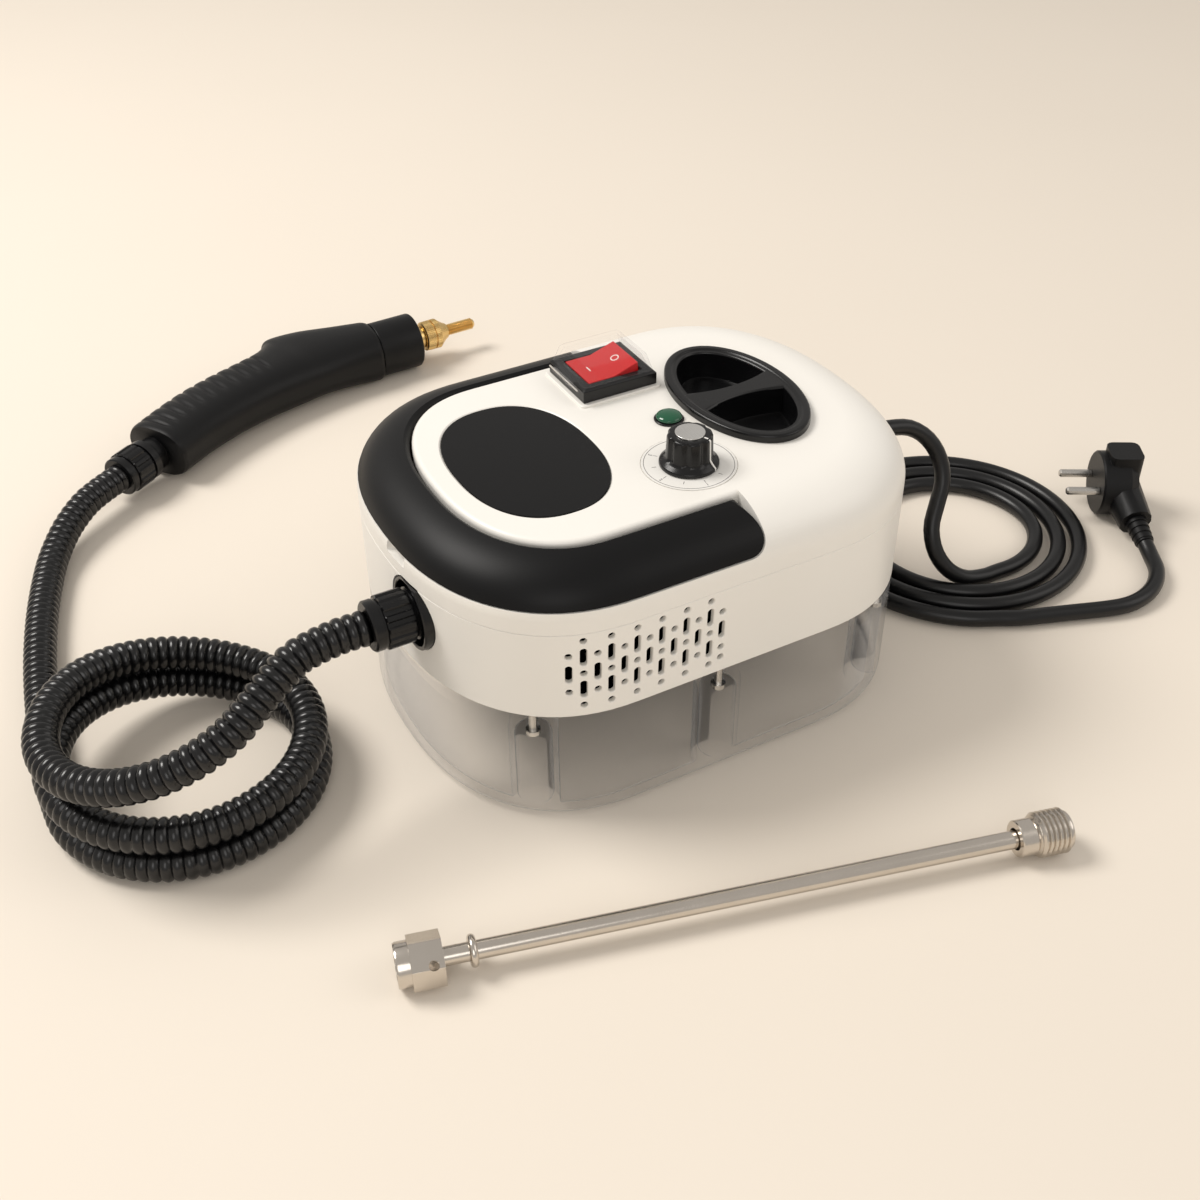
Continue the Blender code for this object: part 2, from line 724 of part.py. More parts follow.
def tank_posts():
    """Plan places of the six screw posts: one at each corner and one in the middle of each long side."""
    corner = Vector((POST_CORNER_X, 0, 0))
    share = (POST_CORNER_X - (HALF_LENGTH - END_REACH)) / (END_REACH - post_inset())
    corner.y = (HALF_WIDTH - post_inset()) * (1 - share ** CORNER_POWER) ** (1 / CORNER_POWER)
    places = [Vector((sx * corner.x, sy * corner.y, 0)) for sx in (1, -1) for sy in (1, -1)]
    places += [Vector((POST_MIDDLE_X, sy * (HALF_WIDTH - post_inset()), 0)) for sy in (1, -1)]
    return places


def water_tank(looks):
    top = BAND_FOOT_Z - GAP
    shoulder = top - TANK_FLANGE_THICK
    rings = [plan_ring(TANK_FOOT_INSET, 0)]
    for k in range(1, 5):
        turn = math.pi / 2 * k / 4
        rings.append(plan_ring(TANK_FOOT_INSET * (1 - math.sin(turn)), TANK_FOOT_RISE * (1 - math.cos(turn))))
    rings.append(plan_ring(0, top))
    rings.append(plan_ring(TANK_FLANGE_INSET, top))
    rings.append(plan_ring(TANK_FLANGE_INSET, shoulder))
    rings.append(plan_ring(TANK_WALL, shoulder - TANK_FLANGE_INSET + TANK_WALL))
    rings.append(plan_ring(TANK_WALL, TANK_FOOT_RISE + TANK_FLOOR))
    rings.append(plan_ring(TANK_FOOT_INSET + TANK_WALL, TANK_FLOOR))
    tank = publish("water_tank", skin(rings), looks["clear"])
    for k, place in enumerate(tank_posts()):
        radius = GROOVE_RADIUS + TANK_WALL
        post = turned([(radius, POST_FOOT_Z), (radius, top)], COARSE, Matrix.Translation(place))
        tool = use_tool(tank, post, f"post_{k + 1}", "UNION")
        inside = skin([plan_ring(TANK_WALL / 2, z) for z in (-OVERRUN, top - TANK_WALL / 2)])
        use_tool(tool, inside, f"post_limit_{k + 1}", "INTERSECT")
    for k, place in enumerate(tank_posts()):
        spin = Matrix.Translation(place)
        bore = SCREW_RADIUS + SCREW_BORE_CLEARANCE
        groove = turned([(GROOVE_RADIUS, GROOVE_FOOT_Z), (GROOVE_RADIUS, SCREW_HEAD_Z + SCREW_HEAD_THICK),
                         (bore, SCREW_HEAD_Z + SCREW_HEAD_THICK + GAP), (bore, top + OVERRUN)], COARSE, spin)
        use_tool(tank, groove, f"groove_{k + 1}")
    return tank


def tank_screws(looks):
    """Six long screws run up the posts and hold the tank to the chassis."""
    reach = chassis_top() + SCREW_GRIP
    for k, place in enumerate(tank_posts()):
        spin = Matrix.Translation(place)
        seat = SCREW_HEAD_Z + SCREW_HEAD_THICK
        profile = [(SCREW_HEAD_RADIUS, SCREW_HEAD_Z), (SCREW_HEAD_RADIUS, seat), (SCREW_RADIUS, seat),
                   (SCREW_RADIUS, reach)]
        publish(f"tank_screw_{k + 1}", turned(profile, SCREW_SIDES, spin), looks["steel"])


def tank_gasket(looks):
    """A flat ring between tank and chassis, just inside the screws."""
    low = BAND_FOOT_Z
    high = low + GASKET_THICK
    outer = post_inset() + SCREW_RADIUS + 2 * GAP
    rings = [plan_ring(outer, low), plan_ring(outer, high), plan_ring(TANK_FLANGE_INSET, high),
             plan_ring(TANK_FLANGE_INSET, low)]
    return publish("tank_gasket", skin(rings, closed=True), looks["rubber"])


def chassis_low():
    return BAND_FOOT_Z + GASKET_THICK + GAP


def chassis_top():
    return chassis_low() + CHASSIS_THICK


def chassis_plate(looks):
    """The floor of the dry side: it closes the tank and carries the boiler, pump and board."""
    low, high = chassis_low(), chassis_top()
    inset = BAND_WALL + GAP
    plate = publish("chassis_plate", skin([plan_ring(inset, low), plan_ring(inset, high)]), looks["black"])
    for k, place in enumerate(tank_posts()):
        boss = turned([(BOSS_RADIUS, high - CHASSIS_THICK / 2), (BOSS_RADIUS, high + CHASSIS_BOSS_DEPTH)],
                      COARSE, Matrix.Translation(place))
        tool = use_tool(plate, boss, f"boss_{k + 1}", "UNION")
        inside = skin([plan_ring(inset + GAP, z) for z in (low, high + 2 * CHASSIS_BOSS_DEPTH)])
        use_tool(tool, inside, f"boss_limit_{k + 1}", "INTERSECT")
    for k, place in enumerate(boiler_cradles()):
        block = box_solid(place, CRADLE_THICK / 2, CRADLE_HALF_WIDTH, high - CHASSIS_THICK / 2,
                          high + BOILER_RADIUS * CRADLE_HEIGHT_SHARE)
        use_tool(plate, block, f"cradle_{k + 1}", "UNION")
    for k, place in enumerate(board_posts()):
        post = box_solid(place, BOARD_POST / 2, BOARD_POST / 2, high - CHASSIS_THICK / 2, high + BOARD_POST)
        use_tool(plate, post, f"board_post_{k + 1}", "UNION")
    seat = turned([(BOILER_RADIUS + GAP, -BOILER_HALF_LENGTH * 2), (BOILER_RADIUS + GAP, BOILER_HALF_LENGTH * 2)],
                  FINE, aim((BOILER_X, BOILER_Y, boiler_z()), (1, 0, 0)))
    use_tool(plate, seat, "cradle_seat")
    hole = skin([oval_ring((CAP_X, 0), neck_half_x() - NECK_WALL, neck_half_y() - NECK_WALL, z)
                 for z in (low - OVERRUN, high + OVERRUN)])
    use_tool(plate, hole, "neck_hole")
    for k, place in enumerate(tank_posts()):
        hole = turned([(SCREW_RADIUS + GAP, low - OVERRUN), (SCREW_RADIUS + GAP, high + CHASSIS_BOSS_DEPTH * BOSS_HOLE_SHARE)],
                      SCREW_SIDES, Matrix.Translation(place))
        use_tool(plate, hole, f"screw_hole_{k + 1}")
    return plate


def vent_openings():
    """Middles and half lengths of the vents: short and tall columns take turns."""
    found = []
    for column in range(VENT_COLUMNS):
        x = VENT_FIRST_X + column * VENT_PITCH
        tall = column % 2
        rows = (-2, -1, 0, 1, 2) if tall else (-1, 0, 1)
        step = VENT_TALL_STEP if tall else VENT_SHORT_STEP
        for row in rows:
            slot = (row % 2 == 1) if tall else (row == 0)
            found.append((x, VENT_MIDDLE_Z + row * step, VENT_SLOT_LENGTH / 2 if slot else VENT_WIDTH / 2))
    found.append((x, VENT_MIDDLE_Z - VENT_SHORT_STEP - VENT_LAST_STEP, VENT_WIDTH / 2))
    return found


def front_face_y(x):
    """Where the housing's front lies at x."""
    over = abs(x) - (HALF_LENGTH - END_REACH)
    share = over / END_REACH
    return -HALF_WIDTH * (1 - max(share, 0.0) ** CORNER_POWER) ** (1 / CORNER_POWER)


def vent_tools():
    bm = bmesh.new()
    half = VENT_WIDTH / 2
    for x, z, half_length in vent_openings():
        outline = []
        for end, start in ((half_length - half, 0), (-(half_length - half), math.pi)):
            for k in range(3):
                turn = start + math.pi * k / 2
                outline.append((half * math.cos(turn), end + half * math.sin(turn)))
        if half_length == half:
            outline = [(half * math.cos(math.pi * k / 3), half * math.sin(math.pi * k / 3)) for k in range(6)]
        face = front_face_y(x)
        slope = math.atan2(front_face_y(x + half) - front_face_y(x - half), 2 * half)
        turn = Matrix.Rotation(slope, 4, "Z")
        rings = []
        for depth in (-VENT_DEPTH / 2, VENT_DEPTH / 2):
            rings.append([bm.verts.new(Vector((x, face, z)) + turn @ Vector((u, depth, v))) for u, v in outline])
        count = len(outline)
        for k in range(count):
            after = (k + 1) % count
            bm.faces.new((rings[0][k], rings[0][after], rings[1][after], rings[1][k]))
        bm.faces.new(list(reversed(rings[0])))
        bm.faces.new(rings[1])
    return bm


def housing_band(looks):
    low, high = BAND_FOOT_Z, SHELL_FOOT_Z - GAP
    rings = [plan_ring(0, low), plan_ring(0, high), plan_ring(BAND_WALL, high), plan_ring(BAND_WALL, low)]
    band = publish("housing_band", skin(rings, closed=True), looks["white"])
    use_tool(band, vent_tools(), "vents")
    port = turned([(PORT_RADIUS + GAP, -PORT_CUP_DEPTH), (PORT_RADIUS + GAP, 2 * PORT_CUP_DEPTH)], FINE,
                  aim((PORT_FACE_X + PORT_CUP_DEPTH / 2, PORT_Y, PORT_Z), (-1, 0, 0)))
    use_tool(band, port, "port_hole")
    bore = GLAND_RADIUS * GLAND_NECK_SHARE + GAP
    gland = turned([(bore, -OVERRUN * 2), (bore, OVERRUN * 2)], COARSE, aim((HALF_LENGTH, 0, GLAND_Z), (1, 0, 0)))
    use_tool(band, gland, "gland_hole")
    return band


# Upper shell, handle and what the deck carries

def dome_rings(shrink, foot):
    """The upper shell's form: an upright foot, then an elliptical shoulder up to the flat deck."""
    rings = [plan_ring(shrink, foot), plan_ring(shrink, SHOULDER_FOOT_Z)]
    top = DECK_Z - shrink
    inset = SHOULDER_INSET - shrink
    for k in range(1, SHOULDER_STEPS + 1):
        turn = math.pi / 2 * k / SHOULDER_STEPS
        rings.append(plan_ring(shrink + inset * (1 - math.cos(turn)),
                               SHOULDER_FOOT_Z + (top - SHOULDER_FOOT_Z) * math.sin(turn)))
    return rings


def rolled_core(inset, low, top, radius, outward=False):
    """A prism on the housing's plan, whose top edge rolls inwards, or outwards to round a hollow's mouth."""
    sign = -1 if outward else 1
    rings = [plan_ring(inset, low), plan_ring(inset, top - radius)]
    for k in (1, 2):
        turn = math.pi / 2 * k / 2
        rings.append(plan_ring(inset + sign * radius * (1 - math.cos(turn)), top - radius + radius * math.sin(turn)))
    return skin(rings)


def handle_pivot_z():
    return HANDLE_FLOOR_Z + HANDLE_LIFT + HANDLE_END_RADIUS


def side_slab(end_x, low, high, half_y, round_radius=0.0):
    """A slab seen from the side: from far at -X to end_x, with a round end about the handle's pivot."""
    far = -HALF_LENGTH - 4 * OVERRUN
    outline = [(far, low)]
    if round_radius:
        for k in range(13):
            turn = -math.pi / 2 + math.pi * k / 12
            outline.append((HANDLE_PIVOT_X + round_radius * math.cos(turn),
                            handle_pivot_z() + round_radius * math.sin(turn)))
    else:
        outline += [(end_x, low), (end_x, high)]
    outline.append((far, high))
    return skin([[Vector((x, y, z)) for x, z in outline] for y in (-half_y, half_y)])


def shell_end_wall_x():
    return HANDLE_PIVOT_X + HANDLE_END_RADIUS + HANDLE_END_CLEARANCE


def upper_shell(looks):
    shell = publish("upper_shell", skin(dome_rings(0, SHELL_FOOT_Z)), looks["white"])
    core_inset = HANDLE_INSET + HANDLE_CLEARANCE
    # The step that the handle lies in
    step = side_slab(shell_end_wall_x(), HANDLE_FLOOR_Z, DECK_Z + OVERRUN, HALF_WIDTH + OVERRUN)
    core = rolled_core(core_inset, HANDLE_FLOOR_Z - OVERRUN, DECK_Z + PIN_CLEARANCE, DECK_EDGE_ROUND)
    step_tool = use_tool(shell, step, "handle_step")
    use_tool(step_tool, core, "handle_step_core")
    # The hollow inside, under the step and under the deck
    notch_foot = HANDLE_FLOOR_Z - NOTCH_DEPTH
    under = skin([plan_ring(SHELL_WALL + GAP, SHELL_FOOT_Z - OVERRUN), plan_ring(SHELL_WALL + GAP, notch_foot - SHELL_WALL)])
    use_tool(shell, under, "foot_hollow")
    well = skin([plan_ring(core_inset + SHELL_WALL, z) for z in (SHELL_FOOT_Z - 2 * OVERRUN, DECK_Z - SHELL_WALL)])
    use_tool(shell, well, "deck_hollow")
    far = skin(dome_rings(SHELL_WALL, SHELL_FOOT_Z - 2 * OVERRUN))
    wall = shell_end_wall_x() + SHELL_WALL
    bmesh.ops.bisect_plane(far, geom=far.verts[:] + far.edges[:] + far.faces[:], plane_co=(wall, 0, 0),
                           plane_no=(-1, 0, 0), clear_outer=True)
    bmesh.ops.holes_fill(far, edges=[e for e in far.edges if e.is_boundary], sides=0)
    use_tool(shell, far, "end_hollow")
    # What the deck carries
    rim = skin([oval_ring((CAP_X, 0), neck_half_x() + NECK_CLEARANCE, neck_half_y() + NECK_CLEARANCE, z)
                for z in (DECK_Z - 4 * OVERRUN, DECK_Z + OVERRUN)])
    pad = box_solid((SWITCH_X, SWITCH_Y), PAD_HALF_X, PAD_HALF_Y, DECK_Z - SHELL_WALL / 2, DECK_Z + PAD_RISE,
                    PAD_CORNER)
    use_tool(shell, pad, "switch_pad", "UNION")
    use_tool(shell, rim, "cap_hole")
    hole = box_solid((SWITCH_X, SWITCH_Y), frame_body_x() + GAP, frame_body_y() + GAP, DECK_Z - 2 * OVERRUN,
                     DECK_Z + OVERRUN)
    use_tool(shell, hole, "switch_hole")
    lamp = turned([(LAMP_RADIUS + GAP, DECK_Z - 2 * OVERRUN), (LAMP_RADIUS + GAP, DECK_Z + OVERRUN)], FINE,
                  Matrix.Translation((LAMP_X, LAMP_Y, 0)))
    use_tool(shell, lamp, "lamp_hole")
    panel = skin([oval_ring((PANEL_X, 0), PANEL_HALF_X + GAP, PANEL_HALF_Y + GAP, z, PANEL_POWER)
                  for z in (DECK_Z - PANEL_RECESS, DECK_Z + OVERRUN)])
    use_tool(shell, panel, "panel_recess")
    dial = turned([(DIAL_RADIUS + GAP, DECK_Z - DIAL_THICK), (DIAL_RADIUS + GAP, DECK_Z + OVERRUN)], 28,
                  Matrix.Translation((KNOB_X, KNOB_Y, 0)))
    use_tool(shell, dial, "dial_recess")
    spindle = turned([(SPINDLE_RADIUS + GAP, DECK_Z - 2 * OVERRUN), (SPINDLE_RADIUS + GAP, DECK_Z + OVERRUN)], COARSE,
                     Matrix.Translation((KNOB_X, KNOB_Y, 0)))
    use_tool(shell, spindle, "spindle_hole")
    pivot = turned([(HANDLE_PIN_RADIUS + PIN_CLEARANCE, -HALF_WIDTH), (HANDLE_PIN_RADIUS + PIN_CLEARANCE, HALF_WIDTH)],
                   COARSE, aim((HANDLE_PIVOT_X, 0, handle_pivot_z()), (0, 1, 0)))
    use_tool(shell, pivot, "pivot_holes")
    notch = turned([(NOTCH_HALF_WIDTH, HANDLE_FLOOR_Z - NOTCH_DEPTH), (NOTCH_HALF_WIDTH, HANDLE_FLOOR_Z + OVERRUN)],
                   FINE, Matrix.Translation((-HALF_LENGTH - NOTCH_HALF_WIDTH + NOTCH_REACH, NOTCH_Y, 0)))
    use_tool(shell, notch, "finger_notch")
    return shell


def carry_handle(looks):
    """A bail that wraps the hose end: its shoulder follows the shell's, and it swings up about two pins."""
    pivot = handle_pivot_z()
    handle = publish("carry_handle", skin(dome_rings(0, SHELL_FOOT_Z)), looks["black"],
                     Vector((HANDLE_PIVOT_X, 0, pivot)))
    slab = side_slab(0, pivot - HANDLE_END_RADIUS, pivot + HANDLE_END_RADIUS, HALF_WIDTH + OVERRUN,
                     HANDLE_END_RADIUS)
    use_tool(handle, slab, "handle_side_form", "INTERSECT")
    core = rolled_core(HANDLE_INSET, SHELL_FOOT_Z - OVERRUN, pivot + HANDLE_END_RADIUS + PIN_CLEARANCE,
                       HANDLE_EDGE_ROUND, True)
    use_tool(handle, core, "handle_core")
    inner = HALF_WIDTH - HANDLE_INSET
    for side, name in ((-1, "front"), (1, "rear")):
        depth = inner + HANDLE_PIN_REACH + GAP
        radius = running_bore(HANDLE_PIN_RADIUS, COARSE)
        hole = turned([(radius, inner - OVERRUN), (radius, depth)], COARSE,
                      aim((HANDLE_PIVOT_X, 0, pivot), (0, side, 0)))
        use_tool(handle, hole, f"handle_hole_{name}")
        start = inner - HANDLE_CLEARANCE - SHELL_WALL - HANDLE_PIN_SINK
        pin = turned([(HANDLE_PIN_RADIUS, start), (HANDLE_PIN_RADIUS, inner + HANDLE_PIN_REACH)], COARSE,
                     aim((HANDLE_PIVOT_X, 0, pivot), (0, side, 0)))
        publish(f"handle_pin_{name}", pin, looks["steel"])
    return handle


def neck_half_x():
    return CAP_HALF_X - CAP_PLUG_INSET + NECK_CLEARANCE + NECK_WALL


def neck_half_y():
    return CAP_HALF_Y - CAP_PLUG_INSET + NECK_CLEARANCE + NECK_WALL


def filler_neck(looks):
    """An oval funnel from the deck down to the hole in the chassis."""
    low = chassis_top() + GAP
    top = DECK_Z - NECK_TOP_DROP
    under = DECK_Z - SHELL_WALL - GAP
    hx, hy = neck_half_x(), neck_half_y()
    centre = (CAP_X, 0)
    rings = [oval_ring(centre, hx, hy, low), oval_ring(centre, hx, hy, under - NECK_WALL),
             oval_ring(centre, hx + NECK_FLANGE, hy + NECK_FLANGE, under - NECK_WALL),
             oval_ring(centre, hx + NECK_FLANGE, hy + NECK_FLANGE, under),
             oval_ring(centre, hx, hy, under), oval_ring(centre, hx, hy, top),
             oval_ring(centre, hx - NECK_WALL, hy - NECK_WALL, top),
             oval_ring(centre, hx - NECK_WALL, hy - NECK_WALL, low)]
    return publish("filler_neck", skin(rings, closed=True), looks["black"])


def cap_pocket(side):
    """A lens-shaped finger pocket on one side of the grip bar, which is narrower at its waist."""
    hx = CAP_HALF_X - CAP_RIM - CAP_POCKET_INSET
    hy = CAP_HALF_Y - CAP_RIM - CAP_POCKET_INSET
    lean = math.asin(CAP_BAR_END / hy)
    outline = []
    for k in range(15):
        turn = lean + (math.pi - 2 * lean) * k / 14
        outline.append((hx * math.cos(turn), hy * math.sin(turn)))
    reach = outline[0][0]
    for k in range(1, 8):
        share = -1 + 2 * k / 8
        outline.append((reach * share, CAP_BAR_END - (CAP_BAR_END - CAP_BAR_WAIST) * (1 - share ** 2)))
    low = DECK_Z + CAP_RISE - CAP_POCKET_DEPTH
    return skin([[Vector((CAP_X + x, side * y, z)) for x, y in outline] for z in (low, DECK_Z + CAP_RISE + OVERRUN)])


def filler_cap(looks):
    """The oval cap: a rim on the deck, a plug in the neck and two finger pockets beside a grip bar."""
    low = DECK_Z + GAP
    top = DECK_Z + CAP_RISE
    plug = CAP_PLUG_INSET
    centre = (CAP_X, 0)
    rings = [oval_ring(centre, CAP_HALF_X - plug, CAP_HALF_Y - plug, DECK_Z - CAP_PLUG_DEPTH),
             oval_ring(centre, CAP_HALF_X - plug, CAP_HALF_Y - plug, low),
             oval_ring(centre, CAP_HALF_X, CAP_HALF_Y, low)]
    for inset, rise in CAP_EDGE_SHARES:
        rings.append(oval_ring(centre, CAP_HALF_X - CAP_RIM * inset, CAP_HALF_Y - CAP_RIM * inset,
                               low + (top - low) * rise))
    cap = publish("filler_cap", skin(rings), looks["black"], cap_origin())
    for side, name in ((-1, "front"), (1, "rear")):
        use_tool(cap, cap_pocket(side), f"cap_pocket_{name}")
    groove = skin([oval_ring(centre, CAP_HALF_X - plug + OVERRUN, CAP_HALF_Y - plug + OVERRUN, z)
                   for z in (seal_z(), seal_z() + SEAL_THICK + GAP)])
    hold = skin([oval_ring(centre, CAP_HALF_X - plug - SEAL_THICK, CAP_HALF_Y - plug - SEAL_THICK, z)
                 for z in (seal_z() - OVERRUN, seal_z() + OVERRUN)])
    tool = use_tool(cap, groove, "seal_groove")
    use_tool(tool, hold, "seal_groove_core")
    return cap


def cap_origin():
    return Vector((CAP_X, 0, DECK_Z))


def seal_z():
    return DECK_Z - CAP_PLUG_DEPTH * CAP_SEAL_SHARE


def cap_seal(looks):
    """A ring in the plug's groove."""
    inner = CAP_PLUG_INSET + SEAL_THICK - PIN_CLEARANCE
    outer = CAP_PLUG_INSET
    low = seal_z() + GAP / 2
    high = low + SEAL_THICK
    centre = (CAP_X, 0)
    rings = [oval_ring(centre, CAP_HALF_X - outer, CAP_HALF_Y - outer, low),
             oval_ring(centre, CAP_HALF_X - outer, CAP_HALF_Y - outer, high),
             oval_ring(centre, CAP_HALF_X - inner, CAP_HALF_Y - inner, high),
             oval_ring(centre, CAP_HALF_X - inner, CAP_HALF_Y - inner, low)]
    return publish("cap_seal", skin(rings, closed=True), looks["rubber"], cap_origin())


def frame_body_x():
    return FRAME_HALF_X - FRAME_RIM


def frame_body_y():
    return FRAME_HALF_Y - FRAME_RIM


def frame_base():
    return DECK_Z + PAD_RISE + GAP


def rocker_pivot():
    return Vector((SWITCH_X, SWITCH_Y, frame_base() + FRAME_RISE - ROCKER_HUB_RADIUS))


def switch_frame(looks):
    """The switch's body: a bezel on the pad and a contact box below the deck, open for the rocker."""
    centre = (SWITCH_X, SWITCH_Y)
    base, top = frame_base(), frame_base() + FRAME_RISE
    low = DECK_Z - FRAME_DEPTH
    well_x, well_y = ROCKER_HALF_X + 2 * ROCKER_CLEARANCE, ROCKER_HALF_Y + ROCKER_CLEARANCE
    rings = [box_ring(centre, frame_body_x(), frame_body_y(), low), box_ring(centre, frame_body_x(), frame_body_y(), base),
             box_ring(centre, FRAME_HALF_X, FRAME_HALF_Y, base), box_ring(centre, FRAME_HALF_X, FRAME_HALF_Y, top - FRAME_CHAMFER),
             box_ring(centre, FRAME_HALF_X - FRAME_CHAMFER, FRAME_HALF_Y - FRAME_CHAMFER, top), box_ring(centre, well_x, well_y, top),
             box_ring(centre, well_x, well_y, low + FRAME_FLOOR)]
    frame = publish("switch_frame", skin(rings), looks["black"])
    pivot = rocker_pivot()
    radius = running_bore(ROCKER_HUB_RADIUS * ROCKER_PIN_SHARE, COARSE)
    reach = ROCKER_HALF_Y + ROCKER_PIN_REACH + GAP
    pins = turned([(radius, -reach), (radius, reach)], COARSE, aim(pivot, (0, 1, 0)))
    use_tool(frame, pins, "rocker_pin_holes")
    return frame


def switch_rocker(looks):
    """The rocker in profile: two faces that meet in a valley, tilted so that its -X end is down."""
    pivot = rocker_pivot()
    tilt = math.radians(ROCKER_TRAVEL_DEG / 2)
    rise = ROCKER_HALF_X * math.tan(tilt)
    crown = ROCKER_HUB_RADIUS
    side = [(ROCKER_HALF_X * across, crown - ROCKER_DEPTH * down) for across, down in ROCKER_SIDE_SHARES]
    outline = [(-ROCKER_HALF_X, crown + rise)] + [(-x, z) for x, z in side] + side[::-1]
    outline += [(ROCKER_HALF_X, crown + rise), (0, crown)]
    lean = Matrix.Translation(pivot) @ Matrix.Rotation(-tilt, 4, "Y")
    rings = [[lean @ Vector((x, y, z)) for x, z in outline] for y in (-ROCKER_HALF_Y, ROCKER_HALF_Y)]
    rocker = publish("switch_rocker", skin(rings), looks["red"], pivot)
    radius = ROCKER_HUB_RADIUS * ROCKER_PIN_SHARE
    reach = ROCKER_HALF_Y + ROCKER_PIN_REACH
    pins = turned([(radius, -reach), (radius, reach)], COARSE, aim(pivot, (0, 1, 0)))
    use_tool(rocker, pins, "rocker_pins", "UNION")
    return rocker


def cover_hinge():
    """The cover's hinge line, along the bezel's -X edge."""
    return Vector((SWITCH_X - FRAME_HALF_X - COVER_HINGE_RADIUS - GAP, SWITCH_Y,
                   frame_base() + FRAME_RISE - COVER_SKIRT + COVER_HINGE_RADIUS))


def switch_cover(looks):
    """The clear lid over the rocker: a thin drafted box, hinged at its -X side."""
    centre = (SWITCH_X, SWITCH_Y)
    top = frame_base() + FRAME_RISE
    hx, hy = FRAME_HALF_X - FRAME_CHAMFER, FRAME_HALF_Y - FRAME_CHAMFER
    low = top + GAP
    high = low + COVER_HEIGHT
    slim = COVER_DRAFT
    wall = COVER_WALL
    soft = COVER_ROUND
    inner = COVER_CORNER - COVER_ROUND
    rings = [box_ring(centre, hx - slim - wall - soft, hy - slim - wall - soft, high - wall, inner),
             box_ring(centre, hx - wall, hy - wall, low, inner), box_ring(centre, hx, hy, low, COVER_CORNER),
             box_ring(centre, hx - slim, hy - slim, high - soft, COVER_CORNER),
             box_ring(centre, hx - slim - soft, hy - slim - soft, high, COVER_CORNER)]
    hinge = cover_hinge()
    cover = publish("switch_cover", skin(rings), looks["clear"], hinge)
    reach = hy * COVER_KNUCKLE_SHARE
    knuckle = turned([(COVER_HINGE_RADIUS, -reach), (COVER_HINGE_RADIUS, reach)], 12, aim(hinge, (0, 1, 0)))
    leaf = box_solid((hinge.x + COVER_HINGE_RADIUS + FRAME_CHAMFER, SWITCH_Y), COVER_HINGE_RADIUS + COVER_LEAF_REACH,
                     hy * COVER_LEAF_SHARE, top + GAP, top + GAP + wall)
    link = box_solid((hinge.x, SWITCH_Y), COVER_HINGE_RADIUS * COVER_LINK_SHARE, hy * COVER_LEAF_SHARE, hinge.z,
                     top + GAP + wall)
    use_tool(cover, link, "hinge_link", "UNION")
    use_tool(cover, leaf, "hinge_leaf", "UNION")
    use_tool(cover, knuckle, "hinge_knuckle", "UNION")
    radius = COVER_HINGE_RADIUS * COVER_PIN_SHARE
    bore = turned([(radius + PIN_CLEARANCE, -hy), (radius + PIN_CLEARANCE, hy)], 10, aim(hinge, (0, 1, 0)))
    use_tool(cover, bore, "hinge_bore")
    reach = hy * COVER_PIN_LENGTH_SHARE
    pin = turned([(radius, -reach), (radius, reach)], 10, aim(hinge, (0, 1, 0)))
    publish("cover_hinge_pin", pin, looks["steel"])
    return cover


def temperature_knob(looks):
    place = Matrix.Translation((KNOB_X, KNOB_Y, 0))
    origin = Vector((KNOB_X, KNOB_Y, DECK_Z))
    dial_top = DECK_Z + DIAL_PROUD
    base = DECK_Z - DIAL_THICK + GAP / 2
    dial = tube_solid([(DIAL_RADIUS, base), (DIAL_RADIUS, dial_top)],
                      [(SPINDLE_RADIUS + GAP, base), (SPINDLE_RADIUS + GAP, dial_top)], 28, place)
    publish("dial_plate", dial, looks["dial"])
    low = dial_top + GAP
    top = low + KNOB_HEIGHT
    shoulder, crown = (KNOB_RADIUS * share for share in KNOB_TOP_SHARES)
    profile = [(KNOB_SKIRT_RADIUS, low), (KNOB_SKIRT_RADIUS, low + KNOB_SKIRT_HEIGHT * KNOB_SKIRT_SHARE),
               (KNOB_RADIUS + KNOB_STEP, low + KNOB_SKIRT_HEIGHT), (KNOB_RADIUS, low + KNOB_SKIRT_HEIGHT + GAP, 1),
               (shoulder, top - KNOB_STEP, 1), (crown, top)]
    knob = publish("temperature_knob", turned(profile, 4 * KNOB_LOBES, place, KNOB_LOBES, KNOB_FLUTE),
                   looks["black"], origin)
    bore = turned([(SPINDLE_RADIUS + PIN_CLEARANCE, low - OVERRUN), (SPINDLE_RADIUS + PIN_CLEARANCE, top - KNOB_ROOF)],
                  COARSE, place)
    use_tool(knob, bore, "knob_bore")
    disc = turned([(KNOB_DISC_RADIUS, top + PIN_CLEARANCE), (KNOB_DISC_RADIUS, top + KNOB_DISC_THICK)], FINE, place)
    publish("knob_disc", disc, looks["disc"], origin)
    spindle = turned([(SPINDLE_RADIUS, DECK_Z - SPINDLE_DEPTH), (SPINDLE_RADIUS, top - KNOB_ROOF - GAP)], COARSE, place)
    publish("knob_spindle", spindle, looks["steel"], origin)
    under = DECK_Z - SHELL_WALL - GAP
    bore = running_bore(SPINDLE_RADIUS, COARSE)
    body = tube_solid([(THERMOSTAT_RADIUS, under - THERMOSTAT_HEIGHT), (THERMOSTAT_RADIUS, under)],
                      [(bore, under - THERMOSTAT_HEIGHT), (bore, under)], COARSE, place)
    publish("thermostat", body, looks["steel"])
    return knob


